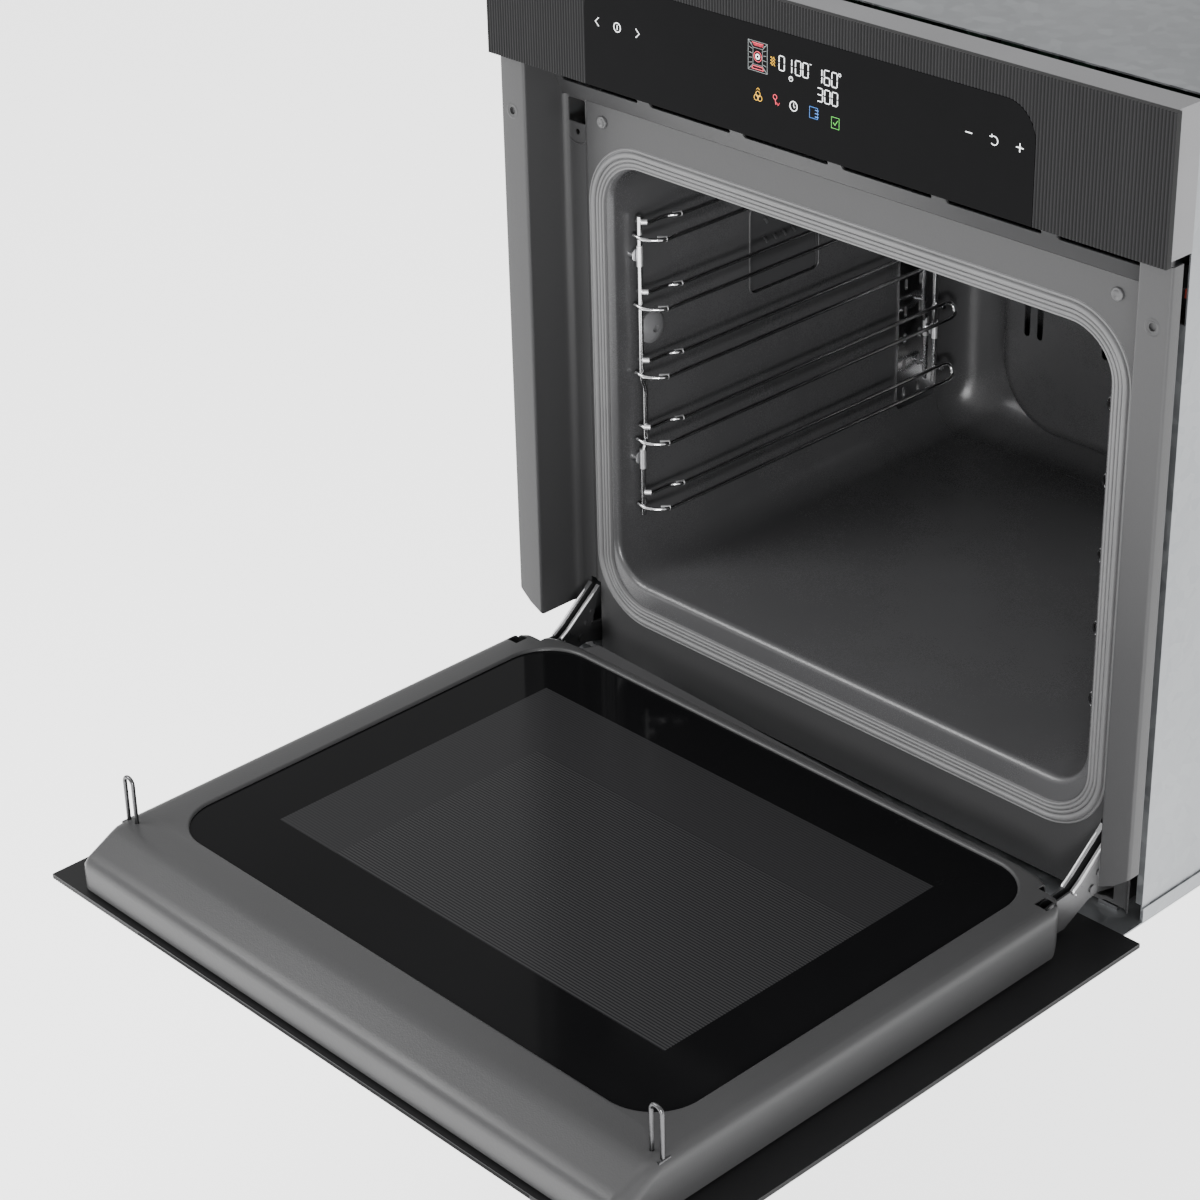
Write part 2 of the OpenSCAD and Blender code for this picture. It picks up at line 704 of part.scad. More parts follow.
module interlock_switches() {
    color("#2a2a2b") both() difference() {
        box([loop_x - 10, plunger_y + 3, loop_z - 12], [loop_x + 10, plunger_y + 41, loop_z + 12]);
        box([loop_x - plunger_half - 0.2, plunger_y, loop_z - plunger_half - 0.2],
            [loop_x + plunger_half + 0.2, plunger_y + 26, loop_z + plunger_half + 0.2]);
    }
    // Strap from the frame that carries the switch
    color(zinc) both() box([loop_x - 10, band_y + sheet + 0.1, loop_z + 12.1],
        [loop_x + 10, plunger_y + 41, loop_z + 13.3]);
}
module plunger() {
    color("#c8442e") box([loop_x - plunger_half, plunger_y, loop_z - plunger_half],
        [loop_x + plunger_half, plunger_y + 21, loop_z + plunger_half]);
}
module plunger_left() { mirror([1, 0, 0]) plunger(); }
module plunger_right() { plunger(); }

// ---------- hinges ----------

// Fixed bracket behind the frame, with a tongue that comes through the slot to the hinge pin
module hinge_brackets() {
    color(zinc) both() difference() {
        union() {
            profile(hinge_x - 1.5, 3) union() {
                polygon([[pivot_y, pivot_z - 6], [40, 14], [bracket_y + 1, 10], [bracket_y + 1, 34],
                    [40, 34], [pivot_y, pivot_z + 6]]);
                translate([pivot_y, pivot_z]) circle(6);
            }
            box([hinge_x - 8, bracket_y, 4], [hinge_x + 8, bracket_y + 3, 66]);
            box([hinge_x - 8, band_y + 3, sheet + 0.1], [hinge_x + 8, bracket_y + 3, 4.1]);
        }
        rod_x(hinge_x - 5, pivot_y, pivot_z, pin_r, 10);
        rod_y(hinge_x, bracket_y - 5, spring_z, rod_r + 0.3, 12);
    }
}
module hinge_pins() {
    color(steel) both() {
        rod_x(hinge_x - 5.2, pivot_y, pivot_z, pin_r, 10.4);
    }
}
// Quadrant lever on the door: it swings into the frame slot as the door closes
module quadrant_outline() {
    polygon([[-150, low_z + 8], [-22, low_z + 8], [pivot_y - 4, pivot_z - 7.5],
        [pivot_y + 6, pivot_z - 6], [20, 46], [28, 66], [25, 69], [14, 60], [-8, 42.5],
        [-16, low_z + 35], [-150, low_z + 30]]);
}
// Narrow band along the upper edge of the quadrant, turned outwards
module quadrant_rail() {
    polygon([[28, 66], [25, 69], [14, 60], [-8, 42.5], [-16, low_z + 35], [-15, low_z + 32.5],
        [-6.5, 40], [15.4, 57.6]]);
}
module hinge_arms() {
    color(steel) both() {
        difference() {
            union() {
                for (x = [hinge_x - 4, hinge_x + 2.4]) profile(x, 1.6) quadrant_outline();
                profile(hinge_x - 6, 2.1) quadrant_rail();
                profile(hinge_x + 3.9, 2.1) quadrant_rail();
                box([hinge_x - 2.5, -150, low_z + 8], [hinge_x + 2.5, -30, low_z + 9.6]);
                for (p = [[-4, 38], [12, 40], [18, 48]]) {
                    rod_x(hinge_x - 5, p[0], p[1], 2.2, 1.1);
                    rod_x(hinge_x + 3.9, p[0], p[1], 2.2, 1.1);
                }
            }
            rod_x(hinge_x - 10, pivot_y, pivot_z, pin_r + running, 20);
        }
    }
}
// Spring rod: it is pushed back as the door closes
rod_front = 58;
rod_back = 236;
module hinge_rod() {
    color(steel) {
        rod_y(hinge_x, rod_front, spring_z, rod_r, rod_back - rod_front);
        rod_y(hinge_x, rod_back - 10, spring_z, 8, 6);
        difference() {
            rod_x(hinge_x - 4, rod_front - 4, spring_z, 6, 8);
            rod_x(hinge_x - 5, rod_front - 4, spring_z, 2, 10);
        }
    }
}
module hinge_rod_left() { mirror([1, 0, 0]) hinge_rod(); }
module hinge_rod_right() { hinge_rod(); }
module hinge_spring() {
    color(zinc) difference() {
        rod_y(hinge_x, bracket_y + 3.5, spring_z, 7.5, rod_back - bracket_y - 14);
        rod_y(hinge_x, bracket_y, spring_z, rod_r + 1.5, 100);
    }
}
module hinge_spring_left() { mirror([1, 0, 0]) hinge_spring(); }
module hinge_spring_right() { hinge_spring(); }

// ---------- door ----------

// Drawn lying open: across the door is X, from its top edge to its hinges is +Y
module door_panel() {
    color("#2c2c2e") box([-half_w, tip_y, low_z], [half_w, end_y, low_z + panel_t]);
}
frame_gap = 2;
crease = 26;
frame_tip = tip_y + 4.5;
frame_end = end_y - 14;
module door_frame_outline(inset) {
    x = door_frame_half_w - inset;
    polygon([[-x, frame_tip + inset], [x, frame_tip + inset], [x, end_y - 38 - inset],
        [258 - inset, end_y - 28 - inset], [236 - inset, end_y - 17 - inset],
        [216 - inset, frame_end - inset], [-216 + inset, frame_end - inset],
        [-236 + inset, end_y - 17 - inset], [-258 + inset, end_y - 28 - inset],
        [-x, end_y - 38 - inset]]);
}
module door_frame_side(inset) {
    low = low_z + panel_t;
    polygon([[frame_tip + inset, low + frame_gap - (inset > 0 ? 5 : 0)],
        [frame_tip + inset, low + crease - inset / 2],
        [frame_tip + 30 + inset / 2, door_in_z - inset], [end_y, door_in_z - inset],
        [end_y, low + frame_gap - (inset > 0 ? 5 : 0)]]);
}
module door_shape(inset) {
    intersection() {
        profile(-half_w, front_w) door_frame_side(inset);
        linear_extrude(80) door_frame_outline(inset);
    }
}
glass_half = 243;
glass_tip = tip_y + 60;
glass_end = end_y - 35;
glass_corner = 40;
module door_frame() {
    color(enamel) difference() {
        door_shape(0);
        door_shape(sheet);
        translate([0, 0, door_in_z - 10]) linear_extrude(20)
            pad([-glass_half, glass_tip], [glass_half, glass_end], glass_corner);
        both() box([latch_x - 5.5, end_y - 46, door_in_z - 10], [latch_x + 5.5, end_y - 34, door_in_z + 5]);
        both() box([hinge_x - 7, end_y - 30, low_z], [hinge_x + 7, end_y, door_in_z + 5]);
        both() for (x = [-loop_half, loop_half])
            rod_z(loop_x + x, loop_y, door_in_z - 5, loop_wire_r + 0.2, 10);
    }
}
module inner_glass() {
    color("#151516") translate([0, 0, door_in_z - 6.5]) linear_extrude(4)
        pad([-glass_half - 6, glass_tip - 6], [glass_half + 6, glass_end + 6], glass_corner + 6);
}
module middle_glass() {
    color("#202426") box([-225, glass_tip + 4, low_z + 22], [225, glass_end - 4, low_z + 26]);
}
module glass_rails() {
    color("#8f9294") both() difference() {
        box([224, glass_tip + 10, low_z + panel_t + 0.2], [236, glass_end - 10, door_in_z - 6.7]);
        box([220, glass_tip + 3, low_z + 21.8], [225.2, glass_end - 3, low_z + 26.2]);
        box([226, glass_tip + 9, low_z + panel_t + 2], [237, glass_end - 9, door_in_z - 8.5]);
    }
}
// Wire stirrups that enter the latch slots
module latch_loops() {
    color(steel) both() translate([loop_x, loop_y, door_in_z]) {
        for (x = [-loop_half, loop_half])
            rod_z(x, 0, -sheet - 3, loop_wire_r, loop_h - loop_half + sheet + 3);
        translate([0, 0, loop_h - loop_half]) rotate([90, 0, 0]) rotate_extrude(angle = 180)
            translate([loop_half, 0]) circle(loop_wire_r);
        // Foot plate under the sheet
        box([-loop_half - 2.4, -5, -sheet - 1.7], [loop_half + 2, 5, -sheet - 0.1]);
    }
}
handle_y = tip_y + 50;
module door_handle() {
    color("#3a3a3c") {
        rod_x(-handle_len / 2, handle_y, low_z - handle_reach, handle_r, handle_len);
        for (x = [-handle_len / 2 + 30, handle_len / 2 - 30])
            rod_z(x, handle_y, low_z - handle_reach, 5, handle_reach);
    }
}

front_frame();
outlet_strip();
door_gasket();
cavity_liner();
back_wall();
fan_baffle();
convection_fan();
fan_motor();
ring_element();
grill_element();
bottom_element();
stirrer();
stirrer_motor();
waveguide();
magnetron();
hv_transformer();
hv_capacitor();
lamp_housing();
lamp_bulb();
lamp_lens();
probe_socket();
rack_left();
rack_right();
rack_supports();
insulation();
base_panel();
side_panels();
top_cover();
rear_panel();
air_channel();
blower_housing();
blower_wheel();
blower_motor();
fascia_panel();
touch_glass();
fascia_carrier();
display_module();
control_board();
terminal_block();
cable_gland();
interlock_switches();
plunger_left();
plunger_right();
hinge_brackets();
hinge_pins();
hinge_rod_left();
hinge_rod_right();
hinge_spring_left();
hinge_spring_right();
door_buffers();
carcass_screws();
door_panel();
door_frame();
inner_glass();
middle_glass();
glass_rails();
latch_loops();
hinge_arms();
door_handle();
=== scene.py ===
import json
import math

import bmesh
import bpy
from mathutils import Matrix, Vector


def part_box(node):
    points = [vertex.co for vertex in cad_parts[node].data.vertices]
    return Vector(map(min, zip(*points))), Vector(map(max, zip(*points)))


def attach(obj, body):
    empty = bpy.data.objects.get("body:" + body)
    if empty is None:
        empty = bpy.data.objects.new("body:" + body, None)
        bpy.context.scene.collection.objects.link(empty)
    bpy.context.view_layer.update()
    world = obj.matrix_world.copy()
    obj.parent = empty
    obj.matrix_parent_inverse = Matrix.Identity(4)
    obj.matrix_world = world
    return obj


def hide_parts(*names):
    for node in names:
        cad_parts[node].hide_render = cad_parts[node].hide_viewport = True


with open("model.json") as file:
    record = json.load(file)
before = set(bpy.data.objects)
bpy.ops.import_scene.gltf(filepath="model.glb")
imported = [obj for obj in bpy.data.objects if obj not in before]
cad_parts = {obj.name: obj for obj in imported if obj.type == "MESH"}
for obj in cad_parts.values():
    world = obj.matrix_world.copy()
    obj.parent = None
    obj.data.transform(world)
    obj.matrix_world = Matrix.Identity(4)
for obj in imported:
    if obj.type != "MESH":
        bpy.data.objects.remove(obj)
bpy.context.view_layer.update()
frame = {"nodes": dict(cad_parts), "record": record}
nodes = frame["nodes"]
record = frame["record"]
mm = 0.001


class Level:
    # One value in a shader: plain arithmetic on it adds Math nodes
    def __init__(self, finish, socket):
        self.finish = finish
        self.socket = socket

    def maths(self, operation, first, second=0.0):
        return self.finish.add("ShaderNodeMath", {"operation": operation}, {0: first, 1: second})

    def __add__(self, other):
        return self.maths("ADD", self, other)

    def __radd__(self, other):
        return self.maths("ADD", other, self)

    def __sub__(self, other):
        return self.maths("SUBTRACT", self, other)

    def __rsub__(self, other):
        return self.maths("SUBTRACT", other, self)

    def __mul__(self, other):
        return self.maths("MULTIPLY", self, other)

    def __rmul__(self, other):
        return self.maths("MULTIPLY", other, self)

    def __gt__(self, other):
        return self.maths("GREATER_THAN", self, other)

    def __lt__(self, other):
        return self.maths("LESS_THAN", self, other)


class Finish:
    # A material with one Principled shader, whose constants are set on its own sockets
    def __init__(self, name, constants):
        self.material = bpy.data.materials.new(name)
        self.material.use_nodes = True
        self.tree = self.material.node_tree
        self.tree.nodes.clear()
        self.shader = self.tree.nodes.new("ShaderNodeBsdfPrincipled")
        output = self.tree.nodes.new("ShaderNodeOutputMaterial")
        self.tree.links.new(self.shader.outputs[0], output.inputs[0])
        for socket, value in constants.items():
            self.shader.inputs[socket].default_value = value

    def add(self, kind, settings=None, values=None, out=0):
        node = self.tree.nodes.new(kind)
        for key, value in (settings or {}).items():
            setattr(node, key, value)
        for key, value in (values or {}).items():
            self.feed(node.inputs[key], value)
        return Level(self, node.outputs[out])

    def feed(self, socket, value):
        if isinstance(value, Level):
            self.tree.links.new(value.socket, socket)
        else:
            socket.default_value = value

    def give(self, socket, value):
        self.feed(self.shader.inputs[socket], value)

    def place(self):
        return self.add("ShaderNodeTexCoord", out="Object")

    def axes(self, place):
        return [self.add("ShaderNodeSeparateXYZ", {}, {0: place}, out=index) for index in range(3)]

    def noise(self, place, scale, detail=3.0, stretch=(1, 1, 1)):
        if stretch != (1, 1, 1):
            place = self.add("ShaderNodeMapping", {}, {"Vector": place, "Scale": stretch})
        return self.add("ShaderNodeTexNoise", {}, {"Vector": place, "Scale": scale, "Detail": detail})

    def mix(self, first, second, factor):
        values = {0: factor, 6: first, 7: second}
        return self.add("ShaderNodeMix", {"data_type": "RGBA"}, values, out=2)

    def bump(self, height, strength, distance):
        values = {"Height": height, "Strength": strength, "Distance": distance}
        return self.add("ShaderNodeBump", {}, values)


def grey(level, blue=0.0):
    return (level, level, level + blue, 1)


def shade(tone, factor):
    return tuple(min(1.0, level * factor) for level in tone) + (1.0,)


# tone and spread: colour and its variation; patch and grain: sizes of the two noises, per metre
looks = {
    "grey_enamel": dict(tone=(.043, .043, .044), spread=.08, patch=7, grain=900, rough=.36, bump=.10,
                        specular=.3),
    "cavity_enamel": dict(tone=(.062, .062, .064), spread=.12, patch=9, grain=1500, rough=.27, bump=.12),
    "gasket": dict(tone=(.13, .13, .132), spread=.10, patch=20, grain=700, rough=.46, bump=.06),
    "bare_steel": dict(tone=(.50, .50, .51), metal=1, patch=12, grain=240, rough=.33, along=(1, 1, 14)),
    "element": dict(tone=(.075, .066, .062), patch=60, grain=900, rough=.62, spread=.25),
    "bare_aluminium": dict(tone=(.72, .73, .74), metal=1, patch=14, grain=300, rough=.34, along=(14, 1, 1)),
    "housing_plastic": dict(tone=(.17, .17, .175), patch=15, grain=1400, rough=.55, bump=.12),
    "lamination": dict(tone=(.13, .12, .105), patch=18, grain=900, rough=.5, along=(1, 1, 9)),
    "lamp_glass": dict(tone=(.62, .64, .62), patch=18, grain=500, rough=.16, spread=.06),
    "probe_cap": dict(tone=(.16, .16, .165), patch=30, grain=900, rough=.3),
    "chrome_wire": dict(tone=(.60, .60, .61), metal=1, patch=40, grain=900, rough=.12, spread=.06),
    "wool": dict(tone=(.20, .185, .155), patch=25, grain=500, rough=.95, spread=.2, bump=.8),
    "board": dict(tone=(.02, .085, .045), patch=30, grain=700, rough=.4, spread=.25),
    "black_plastic": dict(tone=(.02, .02, .021), patch=15, grain=1400, rough=.5, bump=.1),
    "plunger": dict(tone=(.42, .05, .035), patch=30, grain=900, rough=.42),
    "hinge_steel": dict(tone=(.15, .15, .153), metal=.9, patch=35, grain=600, rough=.42, spread=.08, bump=.02),
    "spring_steel": dict(tone=(.30, .31, .32), metal=1, patch=35, grain=600, rough=.3, spread=.12),
    "black_rubber": dict(tone=(.075, .075, .077), patch=30, grain=900, rough=.42),
    "clear_glass": dict(tone=(.055, .055, .057), patch=4, grain=60, rough=.12, spread=.08, specular=.3),
    "loop_steel": dict(tone=(.11, .11, .113), metal=1, patch=35, grain=700, rough=.3, spread=.1),
    "handle": dict(tone=(.055, .055, .057), metal=.6, patch=10, grain=500, rough=.3, along=(.05, 1, 1)),
    "touch_glass": dict(tone=(.0035, .0035, .0038), patch=3, grain=40, rough=.08, spread=.1, specular=.03),
}


def surface(name, tone, metal=0.0, spread=.14, patch=12.0, grain=400.0, rough=.4, bump=.03, along=(1, 1, 1),
            specular=.5):
    finish = Finish(name, {"Metallic": metal, "Specular IOR Level": specular})
    place = finish.place()
    cloud = finish.noise(place, patch)
    fine = finish.noise(place, grain, 2.0, along)
    worn = cloud * .6 + fine * .4
    finish.give("Base Color", finish.mix(shade(tone, 1 - 2 * spread), shade(tone, 1 + 2 * spread), worn))
    finish.give("Roughness", rough + (cloud - .5) * .16 + (fine - .5) * .10)
    finish.give("Normal", finish.bump(fine, bump, .001))
    return finish


finishes = {name: surface(name, **look) for name, look in looks.items()}

# The fluted dark metal of the control panel and of the door's face, with painted shade in the flutes' valleys and a
# painted highlight on their crests
flutePitch = 2.6 * mm
flutedLook = {"shadedValley": grey(.0012, .0001), "crest": grey(.020, .001), "streaks": (420, 1, 5),
              "broad": (70, 1, .8), "rough": .34}


def flutedMetal(look):
    finish = Finish("ribbed_panel", {"Metallic": .4, "Specular IOR Level": .15})
    place = finish.place()
    acrossX = finish.axes(place)[0]
    streaks = finish.noise(place, 1.0, 4.0, look["streaks"])
    broad = finish.noise(place, 1.0, 2.0, look["broad"])
    # Painted shade and highlight: the colour is darker in each flute's valley and lighter on its crest, mixed with
    # streaks and broad patches of tone
    wave = finish.add("ShaderNodeMath", {"operation": "COSINE"}, {0: acrossX * (2 * math.pi / flutePitch)})
    crest = (wave * .5 + .5) * .6 + streaks * .2 + broad * .2
    finish.give("Base Color", finish.mix(look["shadedValley"], look["crest"], crest))
    finish.give("Roughness", look["rough"] + streaks * .22)
    finish.give("Normal", finish.bump(streaks, .12, 1 * mm))
    return finish


# Galvanised sheet: crystals of zinc, each with its own grey
zincLook = {"dark": (.19, .20, .21, 1), "light": (.36, .37, .38, 1), "crystals": 110.0, "rough": .38}


def zincSheet(look):
    finish = Finish("galvanised", {"Metallic": .9})
    place = finish.place()
    values = {"Vector": place, "Scale": look["crystals"]}
    cells = finish.add("ShaderNodeTexVoronoi", {"feature": "F1"}, values, out="Color")
    tint = finish.add("ShaderNodeSeparateColor", {}, {0: cells})
    streak = finish.noise(place, 6.0, 4.0)
    finish.give("Base Color", finish.mix(look["dark"], look["light"], tint * .4 + streak * .6))
    finish.give("Roughness", look["rough"] + tint * .16)
    finish.give("Normal", finish.bump(finish.noise(place, 500.0, 2.0), .05, 1 * mm))
    return finish


# Inner door glass: black print with a finely lined window in its middle
doorGlassLook = {"windowHalf": .190, "windowFront": .083, "windowBack": .337, "deepHalf": .128,
                 "deepFront": .149, "linePitch": 2.4 * mm,
                 "window": (grey(.016, .001), grey(.026, .001)), "deep": (grey(.010, .001), grey(.036, .001)),
                 "black": (grey(.003, .0003), grey(.006, .0004))}


def printedGlass(look):
    finish = Finish("door_glass", {"Specular IOR Level": .05})
    place = finish.place()
    acrossX, alongY = finish.axes(place)[:2]
    inWindow = (acrossX > -look["windowHalf"]) * (acrossX < look["windowHalf"])
    inWindow = inWindow * (alongY < -look["windowFront"]) * (alongY > -look["windowBack"])
    inDeep = (acrossX > -look["deepHalf"]) * (alongY < -look["deepFront"]) * inWindow
    wave = finish.add("ShaderNodeMath", {"operation": "SINE"}, {0: alongY * (2 * math.pi / look["linePitch"])})
    lines = wave * .5 + .5
    haze = finish.noise(place, 5.0)
    windowTone = finish.mix(finish.mix(*look["window"], lines), finish.mix(*look["deep"], lines), inDeep)
    finish.give("Base Color", finish.mix(finish.mix(*look["black"], haze), windowTone, inWindow))
    finish.give("Roughness", .06 + haze * .04 + inWindow * .12)
    return finish


finishes["ribbed_panel"] = flutedMetal(flutedLook)
finishes["galvanised"] = zincSheet(zincLook)
finishes["door_glass"] = printedGlass(doorGlassLook)
# A bright finish that paints the highlights of the runners' pressed flats and of the hinge levers' rolled edges
paintedHighlight = surface("painted_highlight", (.90, .90, .91), metal=.8, spread=.04, patch=60, grain=900, rough=.34)
panelInside = surface("door_panel_inside", (.008, .008, .0085), spread=.2, patch=9, grain=700, rough=.45,
                      specular=.2)


def lamp(name, tone, strength):
    finish = Finish(name, {"Emission Strength": strength, "Roughness": .4})
    flicker = finish.noise(finish.place(), 220.0)
    finish.give("Base Color", finish.mix(shade(tone, .7), shade(tone, 1), flicker))
    finish.give("Emission Color", finish.mix(shade(tone, .85), shade(tone, 1), flicker))
    return finish


lights = {
    "white": lamp("sign_white", (.85, .87, .88), 1.5),
    "grey": lamp("sign_grey", (.22, .24, .24), .8),
    "red": lamp("sign_red", (.75, .05, .09), 1.2),
    "yellow": lamp("sign_yellow", (.78, .42, .03), 1.1),
    "blue": lamp("sign_blue", (.03, .16, .50), 1.2),
    "green": lamp("sign_green", (.08, .50, .06), 1.2),
}
print("finishes made")


def ringPoints(low, high, radius, steps=10):
    # Round a rectangle with rounded corners, anticlockwise from its lower right corner
    points = []
    corners = ((high[0] - radius, low[1] + radius, -90), (high[0] - radius, high[1] - radius, 0),
               (low[0] + radius, high[1] - radius, 90), (low[0] + radius, low[1] + radius, 180))
    for x, z, start in corners:
        for step in range(steps + 1):
            angle = math.radians(start + 90 * step / steps)
            points.append((x + radius * math.cos(angle), z + radius * math.sin(angle)))
    return points


def aroundPoint(x, z, halfX, halfZ, radius, steps):
    return ringPoints((x - halfX, z - halfZ), (x + halfX, z + halfZ), radius, steps)


def softPath(corners, steps=6, closed=False):
    # Each corner is (x, y, radius): its bend starts and ends a tangent's length away
    points = []
    last = len(corners) - 1
    for index, (x, y, radius) in enumerate(corners):
        if radius == 0 or (not closed and index in (0, last)):
            points.append((x, y))
            continue
        here = Vector((x, y))
        before = (Vector(corners[index - 1][:2]) - here).normalized()
        after = (Vector(corners[(index + 1) % len(corners)][:2]) - here).normalized()
        reach = radius / math.tan(before.angle(after) / 2)
        start = here + before * reach
        end = here + after * reach
        for step in range(steps + 1):
            t = step / steps
            point = start * (1 - t) ** 2 + here * 2 * t * (1 - t) + end * t * t
            points.append((point.x, point.y))
    return points


def gridFaces(rows, count, closed=True):
    faces = []
    for row in range(rows - 1):
        for index in range(count if closed else count - 1):
            after = (index + 1) % count
            faces.append((row * count + index, row * count + after,
                          (row + 1) * count + after, (row + 1) * count + index))
    return faces


def loftMesh(name, loops, closed=True, capStart=False, capEnd=False):
    points = [point for loop in loops for point in loop]
    count = len(loops[0])
    faces = gridFaces(len(loops), count, closed)
    if capStart:
        faces.append(tuple(reversed(range(count))))
    if capEnd:
        faces.append(tuple(range((len(loops) - 1) * count, len(loops) * count)))
    mesh = bpy.data.meshes.new(name)
    mesh.from_pydata(points, [], faces)
    return mesh


def addObject(name, mesh):
    piece = bpy.data.objects.new(name, mesh)
    bpy.context.scene.collection.objects.link(piece)
    return piece


def settle(piece):
    # Turns a curve, or a mesh with modifiers, into a plain mesh
    bpy.context.view_layer.update()
    mesh = bpy.data.meshes.new_from_object(piece.evaluated_get(bpy.context.evaluated_depsgraph_get()))
    name = piece.name
    bpy.data.objects.remove(piece)
    return addObject(name, mesh)


def join(name, pieces):
    shape = bmesh.new()
    for piece in pieces:
        mesh = piece.data.copy()
        mesh.transform(piece.matrix_world)
        shape.from_mesh(mesh)
        bpy.data.objects.remove(piece)
    mesh = bpy.data.meshes.new(name)
    shape.to_mesh(mesh)
    shape.free()
    return addObject(name, mesh)


def prism(name, outline, low, high, axis="y"):
    # An outline run along one axis; its points are given in the other two, in the order of the alphabet
    slot = "xyz".index(axis)
    loops = [[(*point[:slot], run, *point[slot:]) for point in outline] for run in (low, high)]
    return addObject(name, loftMesh(name, loops, capStart=True, capEnd=True))


def tidyNormals(piece):
    shape = bmesh.new()
    shape.from_mesh(piece.data)
    bmesh.ops.remove_doubles(shape, verts=shape.verts, dist=1e-6)
    bmesh.ops.recalc_face_normals(shape, faces=shape.faces)
    shape.to_mesh(piece.data)
    shape.free()


def cut(piece, cutters):
    tidyNormals(piece)
    tool = join(piece.name + "_tool", cutters)
    tidyNormals(tool)
    modifier = piece.modifiers.new("cut", "BOOLEAN")
    modifier.operation = "DIFFERENCE"
    modifier.solver = "EXACT"
    modifier.object = tool
    piece = settle(piece)
    bpy.data.objects.remove(tool)
    return piece


def thicken(piece, thickness):
    tidyNormals(piece)
    modifier = piece.modifiers.new("sheet", "SOLIDIFY")
    modifier.thickness = thickness
    modifier.offset = -1
    modifier.use_even_offset = True
    return settle(piece)


def finishPiece(piece, slot, body, replaced=(), material=None, sharp=40):
    tidyNormals(piece)
    for face in piece.data.polygons:
        face.use_smooth = True
    piece.data.set_sharp_from_angle(angle=math.radians(sharp))
    piece.data.materials.clear()
    piece.data.materials.append((material or finishes[slot]).material)
    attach(piece, body)
    for node in replaced:
        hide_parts(node)
    return piece


def tube(name, path, radius, bend=0.0, closed=False, sides=4):
    # A wire along a path, with its bends rounded by a few points
    points = []
    last = len(path) - 1
    for index, point in enumerate(path):
        here = Vector(point)
        if bend == 0 or (not closed and index in (0, last)):
            points.append(here)
            continue
        before = Vector(path[index - 1]) - here
        after = Vector(path[(index + 1) % len(path)]) - here
        reach = min(bend, before.length * .45, after.length * .45)
        start = here + before.normalized() * reach
        end = here + after.normalized() * reach
        for step in range(5):
            t = step / 4
            points.append(start * (1 - t) ** 2 + here * 2 * t * (1 - t) + end * t * t)
    curve = bpy.data.curves.new(name, "CURVE")
    curve.dimensions = "3D"
    curve.bevel_depth = radius
    curve.bevel_resolution = sides
    curve.use_fill_caps = True
    spline = curve.splines.new("POLY")
    spline.points.add(len(points) - 1)
    for knot, point in zip(spline.points, points):
        knot.co = (*point, 1)
    spline.use_cyclic_u = closed
    return settle(addObject(name, curve))


def turned(name, profile, centre, axis, sides=32):
    # (radius, height) pairs turned round an axis through centre
    turn = Vector((0, 0, 1)).rotation_difference(Vector(axis)).to_matrix().to_4x4()
    loops = []
    for radius, height in profile:
        loops.append([Matrix.Translation(centre) @ turn @ Vector((
            max(radius, 1e-5) * math.cos(2 * math.pi * side / sides),
            max(radius, 1e-5) * math.sin(2 * math.pi * side / sides), height)) for side in range(sides)])
    return addObject(name, loftMesh(name, loops, capStart=True, capEnd=True))


def flatSheet(name, outer, holes, height):
    # A flat sheet in X and Y with holes, at one height
    curve = bpy.data.curves.new(name, "CURVE")
    curve.dimensions = "2D"
    curve.fill_mode = "BOTH"
    for loop in [outer] + holes:
        spline = curve.splines.new("POLY")
        spline.points.add(len(loop) - 1)
        for knot, (x, y) in zip(spline.points, loop):
            knot.co = (x, y, 0, 1)
        spline.use_cyclic_u = True
    piece = settle(addObject(name, curve))
    for vertex in piece.data.vertices:
        vertex.co.z = height
    return piece


gasketLow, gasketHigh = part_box("door_gasket")
frameLow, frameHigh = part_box("front_frame")
frontFrame = {"sheet": 1.2 * mm, "planeHalf": .247, "bandInner": .250, "trimInner": .2708,
              "planeY": .026, "bandY": .028, "planeTop": .462, "foldOuter": 2.6 * mm, "foldInner": 7 * mm,
              "foldPlane": 4 * mm, "trimBack": -1 * mm, "mouthHalf": .2312, "mouthInset": .0148,
              "mouthRadius": .0372,
              # Cut at the foot of each side trim, clear of the door
              "foot": ((.2678, -.005), (.2678, .046), (.284, .054), (.2961, .064), (.301, .064), (.301, -.005)),
              "footBack": .0249, "latchX": .2585, "latchZ": .451, "slotHalf": (.0085, .009),
              "pin": (.435, 2.2 * mm), "hingeX": .250, "hingeSlot": (.011, .072), "hingeHalf": .0065,
              "screwX": .284, "screwZ": .455, "screwHole": 2.75 * mm, "bossRadius": 8 * mm,
              "pocketHalf": .0100, "pocketLow": .4262, "pocketBead": .8 * mm, "pocketBend": 9 * mm}


def frameSection(look):
    half = [(0, look["planeY"], 0), (look["planeHalf"], look["planeY"], look["foldPlane"]),
            (look["bandInner"], look["bandY"], look["foldPlane"]),
            (look["trimInner"], look["bandY"], look["foldInner"]),
            (look["trimInner"], frameLow.y, look["foldOuter"]), (frameHigh.x, frameLow.y, look["foldOuter"]),
            (frameHigh.x, look["trimBack"], 0)]
    right = softPath(half, 8)
    return [(-x, y) for x, y in reversed(right[1:])] + right


def mirrored(outline):
    return [(-x, z) for x, z in outline]


